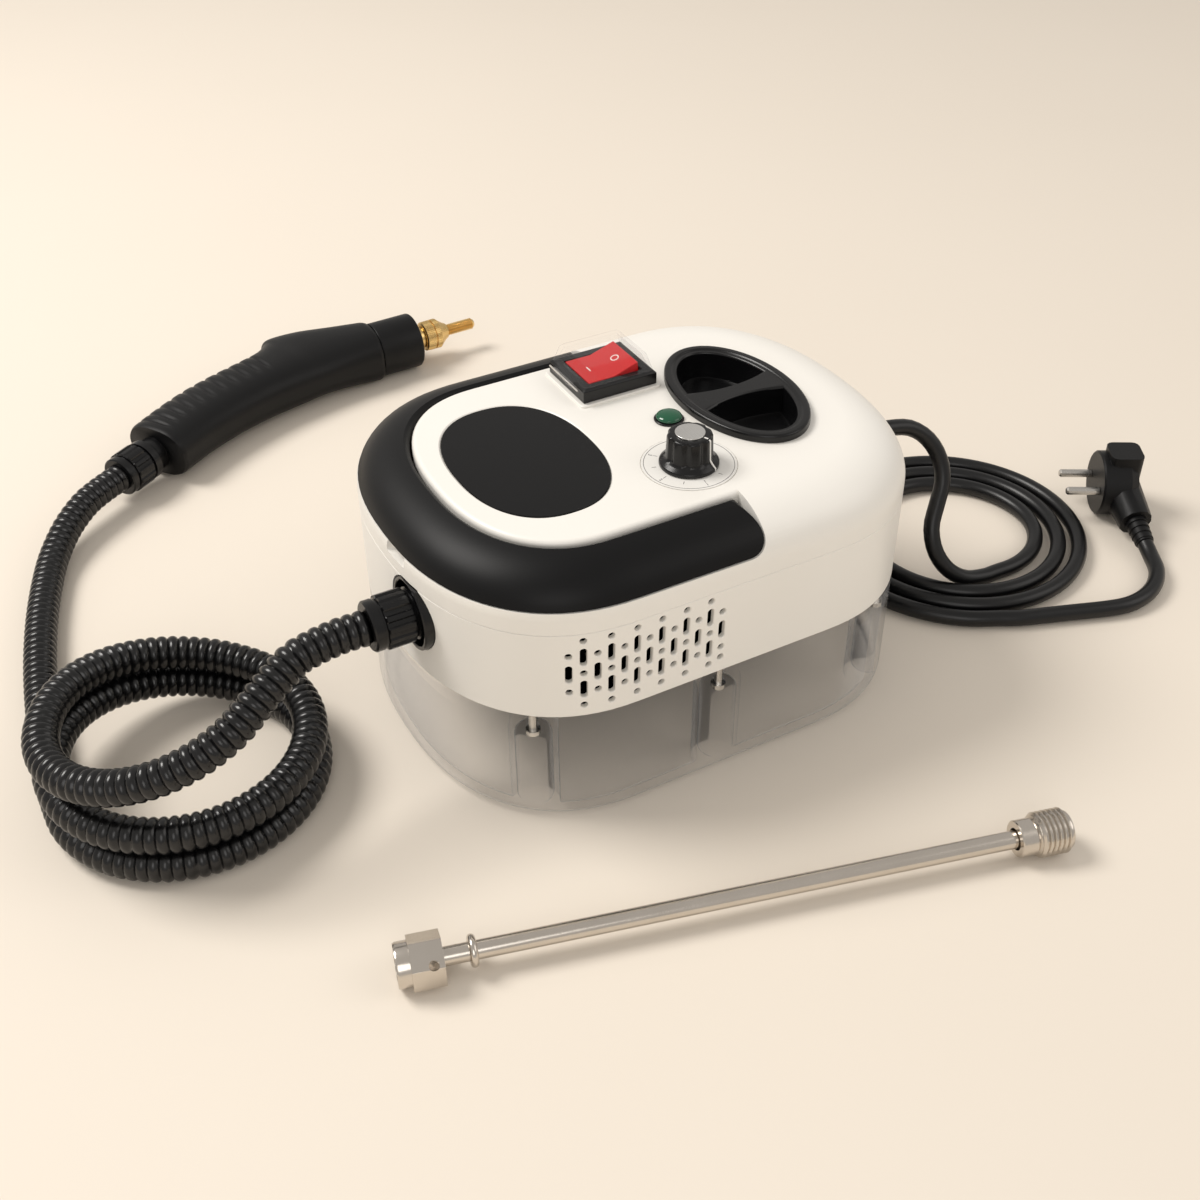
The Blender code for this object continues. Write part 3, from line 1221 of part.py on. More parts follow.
def indicator_lamp(looks):
    place = Matrix.Translation((LAMP_X, LAMP_Y, 0))
    low = DECK_Z - LAMP_DEPTH
    rise = DECK_Z + LAMP_BEZEL_RISE
    stem = LAMP_RADIUS - LAMP_WALL
    bezel = tube_solid([(LAMP_RADIUS, low), (LAMP_RADIUS, DECK_Z + GAP), (LAMP_BEZEL_RADIUS, DECK_Z + GAP),
                        (LAMP_BEZEL_RADIUS, rise)], [(stem, low), (stem, rise)], FINE, place)
    publish("lamp_bezel", bezel, looks["black"])
    seat = rise + GAP
    rim = seat + LAMP_DOME_RIM
    profile = [(stem - GAP, low + LAMP_LENS_FOOT), (stem - GAP, seat), (LAMP_DOME_RADIUS, seat), (LAMP_DOME_RADIUS, rim)]
    for k in range(1, 4):
        turn = math.pi / 2 * k / 4
        profile.append((LAMP_DOME_RADIUS * math.cos(turn), rim + LAMP_DOME * math.sin(turn)))
    return publish("lamp_lens", turned(profile, FINE, place), looks["green"])


def deck_panel(looks):
    low = DECK_Z - PANEL_RECESS + GAP / 2
    rings = [oval_ring((PANEL_X, 0), PANEL_HALF_X, PANEL_HALF_Y, z, PANEL_POWER) for z in (low, low + PANEL_THICK)]
    return publish("deck_panel", skin(rings), looks["black"])


# Hose port, hose and gun

def hose_port(looks):
    """A cup let into the hose end, with the steam stub that the hose nut screws on."""
    place = aim((PORT_FACE_X, PORT_Y, PORT_Z), (-1, 0, 0))
    wall = PORT_RADIUS - PORT_CUP_WALL
    bore = PORT_STUB_RADIUS - PORT_STUB_WALL
    cup = tube_solid([(PORT_RADIUS, -PORT_CUP_DEPTH), (PORT_RADIUS, 0)],
                     [(bore, -PORT_CUP_DEPTH), (bore, PORT_STUB_PROUD),
                      (PORT_STUB_RADIUS, PORT_STUB_PROUD), (PORT_STUB_RADIUS, -PORT_CUP_DEPTH + PORT_CUP_WALL),
                      (wall, -PORT_CUP_DEPTH + PORT_CUP_WALL), (wall, 0)], FINE, place)
    port = publish("hose_port", cup, looks["black"])
    # Its round is cut level under the upper shell
    above = box_solid((PORT_FACE_X, PORT_Y), 2 * PORT_CUP_DEPTH, PORT_RADIUS + OVERRUN, SHELL_FOOT_Z - 2 * GAP,
                      SHELL_FOOT_Z + 2 * OVERRUN)
    use_tool(port, above, "port_top")
    return port


def ribbed_nut(name, start, direction, length, radius, bore, looks):
    """A hose nut: a grip with ribs between two plain rings, hollow right through."""
    place = aim(start, direction)
    rim = radius * NUT_RIM_SHARE
    band = length * NUT_BAND_SHARE
    ribs = length * (NUT_BAND_SHARE + NUT_STEP_SHARE)
    outer = [(rim, 0, 0), (rim, band, 0), (radius, ribs, 1), (radius, length - ribs, 1), (rim, length - band, 0),
             (rim, length, 0)]
    nut = publish(name, turned(outer, 3 * NUT_RIBS, place, NUT_RIBS, radius * NUT_FLUTE_SHARE), looks["black"])
    hole = turned([(bore, -OVERRUN), (bore, length + OVERRUN)], FINE, place)
    use_tool(nut, hole, name + "_bore")
    return nut


def coil_point(angle):
    """A place along the hose's coil, clockwise: it lands on the top, then steps down a layer behind."""
    before = max(COIL_LANDING_DEG - angle, 0) / (COIL_LANDING_DEG - COIL_START_DEG)
    layers = COIL_TURNS
    for turn in range(COIL_TURNS):
        layers -= ease((angle - COIL_CLIMB_START_DEG - 360 * turn) / COIL_CLIMB_DEG)
    height = HOSE_RADIUS + FLOOR_LIFT + layers * COIL_LAYER + COIL_LEAD_DROP * before ** 2
    turn = -math.radians(angle)
    return Vector((COIL_X + COIL_RADIUS * math.cos(turn), COIL_Y + COIL_RADIUS * math.sin(turn), height))


def port_route(out):
    """From the port's nut to the coil, down and to the left."""
    start = Vector((PORT_NUT_END_X - GAP, PORT_Y, PORT_Z))
    joint = coil_point(COIL_START_DEG) - out * GAP / 2
    points = [start, start - Vector((PORT_RUN_LEG, 0, 0))]
    points += [start + Vector(step) for step in PORT_RUN]
    points += [joint - out * HOSE_RADIUS, joint]
    return points


def gun_axis():
    """Where the hose meets the gun, and which way it goes in."""
    back, belly = gun_rows()[0]
    middle = (back + belly) / 2
    across = (back - belly).normalized()
    ahead = Vector((across.y, -across.x, 0))
    return middle, ahead


def gun_route(joint, away):
    """From the foot of the coil along the floor, then round an easy bend up to the gun's nut."""
    floor = HOSE_RADIUS + FLOOR_LIFT
    middle, ahead = gun_axis()
    end = middle - ahead * (GUN_NUT_LENGTH + GUN_NECK_LENGTH + 3 * GAP)
    leg = end - ahead * 2 * HOSE_RADIUS
    bend = bend_run(leg, ahead, GUN_BEND_RADIUS, GUN_BEND_DEG, GUN_BEND_SHARES, floor)
    points = [joint + away * GAP, joint + away * 2 * HOSE_RADIUS]
    corner = Vector((COIL_X + FLOOR_RUN_CORNER[0], COIL_Y + FLOOR_RUN_CORNER[1], floor))
    for share in FLOOR_RUN_SHARES:
        points.append(points[1] * (1 - share) ** 2 + corner * 2 * share * (1 - share) + bend[0] * share ** 2)
    return points + bend + [leg, end]


def steam_hose(looks):
    end_angle = COIL_LEAVING_DEG + 360 * COIL_TURNS
    turns, out, away = coil_run(coil_point, COIL_START_DEG, end_angle, COIL_STEP_DEG, 2 * HOSE_RADIUS)
    fine = RIB_PITCH / 2
    stretch = free_run(port_route(out), fine)
    rest = free_run(gun_route(turns[-1], away), fine)
    print("hose length", round(path_length(stretch) + path_length(turns) + path_length(rest), 4))
    print("hose coil least gap", round(least_gap(spaced(turns, HOSE_RADIUS / 2), 2 * HOSE_RADIUS, GAP_CHECK_FAR), 5))
    for name, points in (("hose_port_stretch", stretch), ("hose_coil", spaced(turns, fine)), ("hose_gun_stretch", rest)):
        publish(name, hose_solid(points), looks["rubber"])


def gun_centre_z():
    return COLLAR_RADIUS + GAP


def gun_place(share_along, share_up):
    """A place on the gun's middle plane from its shares."""
    heading = math.radians(GUN_HEADING_DEG)
    along = Vector((math.cos(heading), math.sin(heading), 0))
    back = Vector((-math.sin(heading), math.cos(heading), 0))
    foot = Vector((GUN_FOOT_X, GUN_FOOT_Y, gun_centre_z()))
    return foot + along * share_along * GUN_LENGTH + back * share_up * GUN_LENGTH


def gun_rows():
    return [(gun_place(*back), gun_place(*belly)) for back, belly in zip(GUN_BACK_SHARES, GUN_BELLY_SHARES)]


def gun_sections():
    """The gun's sections: back, belly, thickness and groove depth, with the hand grooves over the grip."""
    rows = list(zip(*zip(*gun_rows()), GUN_THICK_SHARES))
    first, last = GUN_GRIP_SHARES
    pitch = (last - first) / (GUN_GROOVES - 1)
    places = [(0, 0.0), (GUN_LIP_SHARE, 0.0)]
    for k in range(GUN_GROOVES):
        places += [(first + k * pitch, GUN_GROOVE_DEPTH), (first + (k + 0.5) * pitch, 0.0)]
    places += [(k / (len(rows) - 1), 0.0) for k in range(len(rows)) if k / (len(rows) - 1) > last + pitch]
    for share, groove in places:
        at = min(share * (len(rows) - 1), len(rows) - 1.0)
        k = min(int(at), len(rows) - 2)
        (back, belly, thick), (back_2, belly_2, thick_2) = rows[k], rows[k + 1]
        yield back.lerp(back_2, at - k), belly.lerp(belly_2, at - k), thick + (thick_2 - thick) * (at - k), groove


def gun_half(name, upper, looks):
    """Half of the gun's housing, cut along the plane that joins back and belly."""
    rings = []
    sign = 1 if upper else -1
    for back, belly, thick, groove in gun_sections():
        middle = (back + belly) / 2
        half = (back - belly) / 2
        ring = []
        for k in range(GUN_SECTION_POINTS):
            turn = math.pi * k / (GUN_SECTION_POINTS - 1)
            across, height = power_turn(turn, 2 / GUN_SECTION_SHARE)
            reach = 1 - (groove / half.length if k < GUN_SECTION_POINTS // 2 else 0)
            rise = sign * (GAP / 2 + GUN_HALF_THICK * thick * max(height, 0) * reach)
            ring.append(middle + half * across * reach + Vector((0, 0, rise)))
        rings.append(ring)
    return publish(name, skin(rings), looks["grip"])


def steam_gun(looks):
    gun_half("gun_shell_left", True, looks)
    gun_half("gun_shell_right", False, looks)
    heading = math.radians(GUN_HEADING_DEG + GUN_NOZZLE_DEG)
    ahead = Vector((math.cos(heading), math.sin(heading), 0))
    back, belly = gun_rows()[-1]
    normal = Vector(((back - belly).y, -(back - belly).x, 0)).normalized()
    start = (back + belly) / 2 + ahead * (GAP + COLLAR_RADIUS * abs(normal.cross(ahead).z))
    collar = turned([(COLLAR_RADIUS, 0), (COLLAR_RADIUS, COLLAR_LENGTH - COLLAR_CHAMFER),
                     (COLLAR_RADIUS - COLLAR_CHAMFER, COLLAR_LENGTH)], 28, aim(start, ahead))
    publish("gun_collar", collar, looks["grip"])
    at = start + ahead * (COLLAR_LENGTH + GAP)
    rim, step, slim = NOZZLE_FLANGE_SHARES
    flange = turned([(NOZZLE_FLANGE_RADIUS, 0), (NOZZLE_FLANGE_RADIUS, NOZZLE_FLANGE_LENGTH * rim),
                     (NOZZLE_FLANGE_RADIUS * slim, NOZZLE_FLANGE_LENGTH * step),
                     (NOZZLE_FLANGE_RADIUS * slim, NOZZLE_FLANGE_LENGTH)], FINE, aim(at, ahead))
    publish("nozzle_flange", flange, looks["brass"])
    at += ahead * (NOZZLE_FLANGE_LENGTH + GAP)
    foot, cone, tip = NOZZLE_NUT_SHARES
    nut = turned([(NOZZLE_NUT_RADIUS * foot, 0), (NOZZLE_NUT_RADIUS, NOZZLE_CHAMFER),
                  (NOZZLE_NUT_RADIUS, NOZZLE_NUT_LENGTH * cone), (NOZZLE_STUB_RADIUS * tip, NOZZLE_NUT_LENGTH)],
                 FINE, aim(at, ahead))
    publish("nozzle_nut", nut, looks["brass"])
    at += ahead * (NOZZLE_NUT_LENGTH + GAP)
    stub = turned([(NOZZLE_STUB_RADIUS, 0), (NOZZLE_STUB_RADIUS, NOZZLE_STUB_LENGTH - NOZZLE_CHAMFER),
                   (NOZZLE_STUB_RADIUS * NOZZLE_TIP_SHARE, NOZZLE_STUB_LENGTH)], COARSE, aim(at, ahead))
    publish("nozzle_stub", stub, looks["brass"])
    middle, inward = gun_axis()
    neck_start = middle - inward * (GAP + GUN_NECK_LENGTH)
    neck = tube_solid([(GUN_NECK_RADIUS, 0), (GUN_NECK_RADIUS, GUN_NECK_LENGTH)],
                      [(HOSE_BORE, 0), (HOSE_BORE, GUN_NECK_LENGTH)], FINE, aim(neck_start, inward))
    publish("gun_inlet", neck, looks["black"])
    nut_start = neck_start - inward * (GAP + GUN_NUT_LENGTH)
    ribbed_nut("gun_hose_nut", nut_start, inward, GUN_NUT_LENGTH, GUN_NUT_RADIUS, HOSE_BORE, looks)


# Wand

def extension_wand(looks):
    axis_z = WAND_HEAD_RADIUS
    start = Vector((*WAND_START, axis_z))
    end = Vector((*WAND_END, axis_z))
    ahead = (end - start).normalized()
    length = (end - start).length
    place = aim(start, ahead)
    across = WAND_HEAD_RADIUS / math.cos(math.pi / 6)
    socket = skin([[place @ Vector((r * math.cos(t), r * math.sin(t), z)) for t in
                    [math.pi / 3 * k + math.pi / 6 for k in range(6)]]
                   for r, z in ((across, WAND_SOCKET_NOSE), (across, WAND_SOCKET_LENGTH))])
    piece = publish("wand_socket", socket, looks["steel"])
    nose = turned([(WAND_NOSE_RADIUS - WAND_NOSE_CHAMFER, 0), (WAND_NOSE_RADIUS, WAND_CHAMFER),
                   (WAND_NOSE_RADIUS, WAND_SOCKET_NOSE + WAND_CHAMFER)], FINE, place)
    use_tool(piece, nose, "wand_nose", "UNION")
    bore = turned([(WAND_BORE_RADIUS, -OVERRUN), (WAND_BORE_RADIUS, WAND_BORE_DEPTH)], FINE, place)
    use_tool(piece, bore, "wand_bore")
    hole = turned([(WAND_HOLE_RADIUS, 0), (WAND_HOLE_RADIUS, 3 * WAND_HEAD_RADIUS)], 12,
                  aim(place @ Vector((0, 0, (WAND_SOCKET_NOSE + WAND_SOCKET_LENGTH) / 2)), Vector((0, -1, 0.7))))
    use_tool(piece, hole, "wand_side_hole")
    tube_start = WAND_SOCKET_LENGTH + GAP
    tube_end = length - WAND_THREAD_LENGTH - WAND_SHOULDER_LENGTH - GAP
    tube = turned([(WAND_TUBE_RADIUS, tube_start), (WAND_TUBE_RADIUS, tube_end)], FINE, place)
    publish("wand_tube", tube, looks["steel"])
    grip = WAND_TUBE_RADIUS + PIN_CLEARANCE
    side = WAND_RING_RADIUS * WAND_RING_SHARE
    ring = tube_solid([(side, WAND_RING_AT), (WAND_RING_RADIUS, WAND_RING_AT + WAND_RING_LENGTH / 2),
                       (side, WAND_RING_AT + WAND_RING_LENGTH)],
                      [(grip, WAND_RING_AT), (grip, WAND_RING_AT + WAND_RING_LENGTH / 2),
                       (grip, WAND_RING_AT + WAND_RING_LENGTH)], FINE, place)
    publish("wand_ring", ring, looks["steel"])
    shoulder = length - WAND_THREAD_LENGTH - WAND_SHOULDER_LENGTH
    root = WAND_HEAD_RADIUS * WAND_THREAD_SHARE
    thread = turned([(WAND_SHOULDER_RADIUS, shoulder), (WAND_SHOULDER_RADIUS, length - WAND_THREAD_LENGTH),
                     (root, length - WAND_THREAD_LENGTH + GAP),
                     (WAND_HEAD_RADIUS, length - WAND_THREAD_LENGTH + WAND_CHAMFER),
                     (WAND_HEAD_RADIUS, length - WAND_CHAMFER), (root, length)], FINE, place)
    end_piece = publish("wand_thread_end", thread, looks["steel"])
    mouth = turned([(WAND_BORE_RADIUS, length - WAND_THREAD_LENGTH), (WAND_BORE_RADIUS, length + OVERRUN)], FINE, place)
    use_tool(end_piece, mouth, "wand_mouth")


# Mains lead

def cord_gland(looks):
    """The strain relief: a flange on the band and a tapered sleeve out to the lead."""
    place = aim((HALF_LENGTH, 0, GLAND_Z), (1, 0, 0))
    tip = GLAND_TIP_X - HALF_LENGTH
    neck = GLAND_RADIUS * GLAND_NECK_SHARE
    profile = [(neck, -BAND_WALL - GLAND_INNER), (neck, GLAND_SEAT), (GLAND_RADIUS, GLAND_SEAT),
               (GLAND_RADIUS, GLAND_BASE), (GLAND_RADIUS * GLAND_SLEEVE_SHARE, GLAND_BASE + GLAND_CHAMFER),
               (LEAD_RADIUS + GLAND_LEAD_WALL, tip)]
    return publish("cord_gland", turned(profile, FINE, place), looks["black"])


def lead_point(angle):
    """A place along the flat spiral on the floor, which opens out from the drop's landing."""
    sweep = LEAD_LEAVING_DEG + 360 * LEAD_TURNS - LEAD_LANDING_DEG
    share = (angle - LEAD_LANDING_DEG) / sweep
    radius = LEAD_INNER_RADIUS + (LEAD_OUTER_RADIUS - LEAD_INNER_RADIUS) * share
    radius -= LEAD_LANDING_INSET * (1 - ease((angle - LEAD_LANDING_DEG) / LEAD_SETTLING_DEG))
    turn = math.radians(angle)
    return Vector((LEAD_RING_X + radius * math.cos(turn), LEAD_RING_Y + radius * math.sin(turn), LEAD_RADIUS + FLOOR_LIFT))


def plug_frame():
    """The plug's middle, the way its pins point and the way its arm leaves."""
    pins = math.radians(PLUG_PIN_DEG)
    arm = math.radians(PLUG_ARM_DEG)
    middle = Vector((PLUG_X, PLUG_Y, PLUG_RADIUS + GAP))
    leaving = Vector((math.cos(arm), math.sin(arm), PLUG_ARM_SLOPE_SHARE)).normalized()
    return middle, Vector((math.cos(pins), math.sin(pins), 0)), leaving


def plug_arm_root():
    """Where the arm's axis starts, a little behind the plug's middle."""
    middle, pins, arm = plug_frame()
    return middle - pins * PLUG_THICK * PLUG_ARM_BACK_SHARE


def lead_end():
    middle, pins, arm = plug_frame()
    return plug_arm_root() + arm * (PLUG_ARM_LENGTH + PLUG_TAIL_LENGTH + 2 * GAP), arm


def mains_lead(looks):
    start = Vector((GLAND_TIP_X + GAP, 0, GLAND_Z))
    end_angle = LEAD_LEAVING_DEG + 360 * LEAD_TURNS
    turns, out, away = coil_run(lead_point, LEAD_LANDING_DEG, end_angle, LEAD_STEP_DEG, 2 * LEAD_RADIUS)
    floor = LEAD_RADIUS + FLOOR_LIFT
    joint = lead_point(LEAD_LANDING_DEG) - out * GAP / 2
    top = start + Vector((LEAD_RADIUS, 0, 0))
    drop = [start] + double_bend(top, joint - out * 2 * LEAD_RADIUS, out, DROP_BEND_STEPS) + [joint]
    end, arm = lead_end()
    leg = end + arm * 2 * LEAD_RADIUS
    bend = bend_run(leg, -arm, LEAD_BEND_RADIUS, LEAD_BEND_DEG, LEAD_BEND_SHARES, floor)
    first = turns[-1] + away * 2 * LEAD_RADIUS
    out_points = [turns[-1] + away * GAP, first, (first + bend[0]) / 2] + bend + [leg, end]
    drop_run = free_run(drop, LEAD_PITCH)
    out_run = free_run(out_points, LEAD_PITCH)
    print("lead length", round(path_length(drop_run) + path_length(turns) + path_length(out_run), 4))
    print("lead coil least gap", round(least_gap(spaced(turns, LEAD_RADIUS), 2 * LEAD_RADIUS, GAP_CHECK_FAR), 5))
    lead_tube("lead_drop", drop_run, looks["rubber"], 2)
    lead_tube("lead_coil", turns, looks["rubber"], 1)
    lead_tube("lead_tail", out_run, looks["rubber"], 2)


def mains_plug(looks):
    """An angled two-pin plug standing on its round rim."""
    middle, pins, arm = plug_frame()
    face = middle + pins * PLUG_THICK / 2
    back, shoulder = PLUG_BACK_SHARES
    body = turned([(PLUG_RADIUS * back, -PLUG_THICK), (PLUG_RADIUS, -PLUG_THICK * shoulder),
                   (PLUG_RADIUS, -PLUG_CHAMFER), (PLUG_RADIUS - PLUG_CHAMFER, 0)], 28, aim(face, pins))
    plug = publish("plug_body", body, looks["black"])
    stem = turned([(PLUG_ARM_RADIUS * PLUG_ARM_ROOT_SHARE, 0), (PLUG_ARM_RADIUS, PLUG_ARM_LENGTH)], 12,
                  aim(plug_arm_root(), arm))
    use_tool(plug, stem, "plug_arm", "UNION")
    # The squared grip on top of the round body
    depth = PLUG_THICK - PLUG_CROWN_SETBACK + PLUG_CROWN_OVERHANG
    crown = box_solid((0, 0), depth / 2, PLUG_CROWN_HALF_WIDTH, middle.z, middle.z + PLUG_RADIUS + PLUG_CROWN_RISE,
                      PLUG_CROWN_SETBACK)
    place = middle - pins * (PLUG_CROWN_SETBACK + PLUG_CROWN_OVERHANG) / 2
    crown.transform(Matrix.Translation((place.x, place.y, 0)) @ Matrix.Rotation(math.radians(PLUG_PIN_DEG), 4, "Z"))
    use_tool(plug, crown, "plug_crown", "UNION")
    tail_start = plug_arm_root() + arm * (PLUG_ARM_LENGTH + GAP)
    # The tail's ribs: as the sleeve tapers, it steps in and out again
    profile = []
    slim = PLUG_TAIL_RADIUS - LEAD_RADIUS - PLUG_LEAD_WALL
    for k in range(2 * PLUG_TAIL_RIBS):
        radius = PLUG_TAIL_RADIUS - slim * k / (2 * PLUG_TAIL_RIBS - 1) - (PLUG_TAIL_GROOVE if k % 2 else 0)
        low, high = (PLUG_TAIL_LENGTH * at / (2 * PLUG_TAIL_RIBS) for at in (k, k + 1))
        profile += [(radius, low), (radius, high)]
    tail = turned(profile, COARSE, aim(tail_start, arm))
    publish("plug_tail", tail, looks["black"])
    across = pins.cross(Vector((0, 0, 1)))
    for k, side in enumerate((-1, 1)):
        at = face + across * side * PLUG_PIN_SPREAD + pins * GAP
        pin = turned([(PLUG_PIN_RADIUS, 0), (PLUG_PIN_RADIUS, PLUG_PIN_LENGTH - PLUG_PIN_ROUND),
                      (PLUG_PIN_RADIUS * PLUG_PIN_TIP_SHARE, PLUG_PIN_LENGTH)], 12, aim(at, pins))
        publish(f"plug_pin_{k + 1}", pin, looks["steel"])


# Inner parts

def boiler_z():
    return chassis_top() + BOILER_RADIUS * BOILER_SEAT_SHARE


def boiler_cradles():
    offset = BOILER_HALF_LENGTH * CRADLE_PLACE_SHARE
    return [Vector((BOILER_X + side * offset, BOILER_Y, 0)) for side in (-1, 1)]


def board_posts():
    return [Vector((BOARD_X + side * (BOARD_SIZE[0] - BOARD_POST) / 2, BOARD_Y, 0)) for side in (-1, 1)]


def inner_parts(looks):
    """Boiler, pump and board on the chassis."""
    axis = aim((BOILER_X, BOILER_Y, boiler_z()), (1, 0, 0))
    half = BOILER_HALF_LENGTH
    end = BOILER_RADIUS * BOILER_END_SHARE
    boiler = turned([(end, -half), (BOILER_RADIUS, -half + BOILER_END), (BOILER_RADIUS, half - BOILER_END), (end, half)],
                    FINE, axis)
    publish("boiler", boiler, looks["steel"])
    floor = chassis_top() + GAP
    pump = box_solid((PUMP_X, PUMP_Y), PUMP_SIZE[0] / 2, PUMP_SIZE[1] / 2, floor, floor + PUMP_SIZE[2], PUMP_CORNER)
    piece = publish("pump", pump, looks["black"])
    head = turned([(PUMP_HEAD_RADIUS, -PUMP_HEAD_SINK), (PUMP_HEAD_RADIUS, PUMP_HEAD_LENGTH)], COARSE,
                  aim((PUMP_X + PUMP_SIZE[0] / 2, PUMP_Y, floor + PUMP_SIZE[2] / 2), (1, 0, 0)))
    use_tool(piece, head, "pump_head", "UNION")
    low = chassis_top() + BOARD_POST + GAP
    board = box_solid((BOARD_X, BOARD_Y), BOARD_SIZE[0] / 2, BOARD_SIZE[1] / 2, low, low + BOARD_SIZE[2])
    publish("control_board", board, looks["board"])


def main():
    clear_scene()
    looks = make_materials()
    water_tank(looks)
    tank_screws(looks)
    tank_gasket(looks)
    chassis_plate(looks)
    housing_band(looks)
    upper_shell(looks)
    carry_handle(looks)
    filler_neck(looks)
    filler_cap(looks)
    cap_seal(looks)
    switch_frame(looks)
    switch_rocker(looks)
    switch_cover(looks)
    temperature_knob(looks)
    indicator_lamp(looks)
    deck_panel(looks)
    hose_port(looks)
    ribbed_nut("port_hose_nut", (PORT_NUT_END_X, PORT_Y, PORT_Z), (1, 0, 0), PORT_NUT_FACE_X - PORT_NUT_END_X,
               PORT_NUT_RADIUS, PORT_STUB_RADIUS + GAP, looks)
    steam_hose(looks)
    steam_gun(looks)
    extension_wand(looks)
    cord_gland(looks)
    mains_lead(looks)
    mains_plug(looks)
    inner_parts(looks)


main()
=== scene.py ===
# %% [markdown]
# # A countertop steam cleaner
#
# An oval appliance stands on its own clear water tank. A corrugated steam hose leaves it at one end and
# ends in a pistol-grip steam gun, a mains lead leaves it at the other, and a plated extension wand lies in
# front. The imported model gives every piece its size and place. This lesson dresses those pieces: it draws
# the moulded shells finely enough to be seen close up, and gives each surface a finish of its own.

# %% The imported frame
import math

import bmesh
import bpy
from mathutils import Matrix, Vector


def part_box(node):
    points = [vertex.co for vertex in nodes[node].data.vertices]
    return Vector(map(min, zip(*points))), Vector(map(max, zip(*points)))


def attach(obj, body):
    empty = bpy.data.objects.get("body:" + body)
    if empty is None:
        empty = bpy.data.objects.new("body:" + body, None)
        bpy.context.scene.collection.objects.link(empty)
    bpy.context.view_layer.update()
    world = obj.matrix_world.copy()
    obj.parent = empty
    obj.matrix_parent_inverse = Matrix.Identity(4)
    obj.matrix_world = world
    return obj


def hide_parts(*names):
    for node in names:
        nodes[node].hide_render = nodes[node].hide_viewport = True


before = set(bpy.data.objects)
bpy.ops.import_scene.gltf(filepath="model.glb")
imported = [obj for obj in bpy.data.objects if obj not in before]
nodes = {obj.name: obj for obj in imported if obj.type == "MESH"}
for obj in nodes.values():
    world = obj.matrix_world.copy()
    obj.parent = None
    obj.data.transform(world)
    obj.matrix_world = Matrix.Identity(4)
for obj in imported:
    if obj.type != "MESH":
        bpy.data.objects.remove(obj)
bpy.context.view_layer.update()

MM = 0.001
GAP = 0.3 * MM
OVERRUN = 5 * MM

# %% [markdown]
# ## The camera
#
# The photograph looks down on the counter from the front left. Its camera is written as a place and as the
# three directions of its frame, so nothing has to be aimed by eye.

# %% Camera
CAMERA_PLACE = Vector((-0.3052, -0.5279, 0.5124))
CAMERA_RIGHT = Vector((0.8760, -0.4824, -0.0062))
CAMERA_UP = Vector((0.3021, 0.5385, 0.7866))
CAMERA_LENS_MM = 44.637
CAMERA_SENSOR_MM = 36


def linked(name, data):
    """A new object with that data, put into the scene."""
    item = bpy.data.objects.new(name, data)
    bpy.context.scene.collection.objects.link(item)
    return item


camera_data = bpy.data.cameras.new("photo_camera")
camera_data.lens = CAMERA_LENS_MM
camera_data.sensor_width = CAMERA_SENSOR_MM
camera = linked("photo_camera", camera_data)
camera_right = CAMERA_RIGHT.normalized()
camera_back = camera_right.cross(CAMERA_UP).normalized()
camera_up = camera_back.cross(camera_right)
camera_turn = Matrix((camera_right, camera_up, camera_back)).transposed().to_4x4()
camera.matrix_world = Matrix.Translation(CAMERA_PLACE) @ camera_turn
bpy.context.scene.camera = camera

# %% [markdown]
# ## Three shader groups
#
# Moulded plastic is never perfectly even: it has a fine grain from the mould, and handling leaves broad
# patches that are a little duller. Both come from noise, at two very different scales, so they live in one
# group that every plastic uses with its own values. A second group makes the fine rings that a lathe or a
# polishing wheel leaves on metal, and a third the thin veil of dust that settles on dark upward faces.

# %% Helpers for node trees
def new_group(name, inputs, outputs):
    """A shader group with named sockets: (name, socket type, default) for each input."""
    group = bpy.data.node_groups.new(name, "ShaderNodeTree")
    for label, kind, value in inputs:
        socket = group.interface.new_socket(label, in_out="INPUT", socket_type=kind)
        if value is not None:
            socket.default_value = value
    for label, kind in outputs:
        group.interface.new_socket(label, in_out="OUTPUT", socket_type=kind)
    return group, group.nodes.new("NodeGroupInput"), group.nodes.new("NodeGroupOutput")


def math_node(tree, operation, first, second, third=None):
    """A Math node whose inputs are sockets or plain numbers."""
    node = tree.nodes.new("ShaderNodeMath")
    node.operation = operation
    for slot, value in enumerate((first, second, third)):
        if value is None:
            continue
        if isinstance(value, bpy.types.NodeSocket):
            tree.links.new(value, node.inputs[slot])
        else:
            node.inputs[slot].default_value = value
    return node.outputs[0]


def noise_node(tree, vector, scale, detail):
    node = tree.nodes.new("ShaderNodeTexNoise")
    node.inputs["Detail"].default_value = detail
    tree.links.new(vector, node.inputs["Vector"])
    if isinstance(scale, bpy.types.NodeSocket):
        tree.links.new(scale, node.inputs["Scale"])
    else:
        node.inputs["Scale"].default_value = scale
    return node.outputs["Fac"]


# %% [markdown]
# The first group is the moulded skin. Its fine grain comes from the texture that is etched into a mould, and
# its broad patches from handling. A bitmap could hold both, but noise needs no unwrapping and never repeats.

# %% Moulded skin
SMUDGE_SCALE = 17

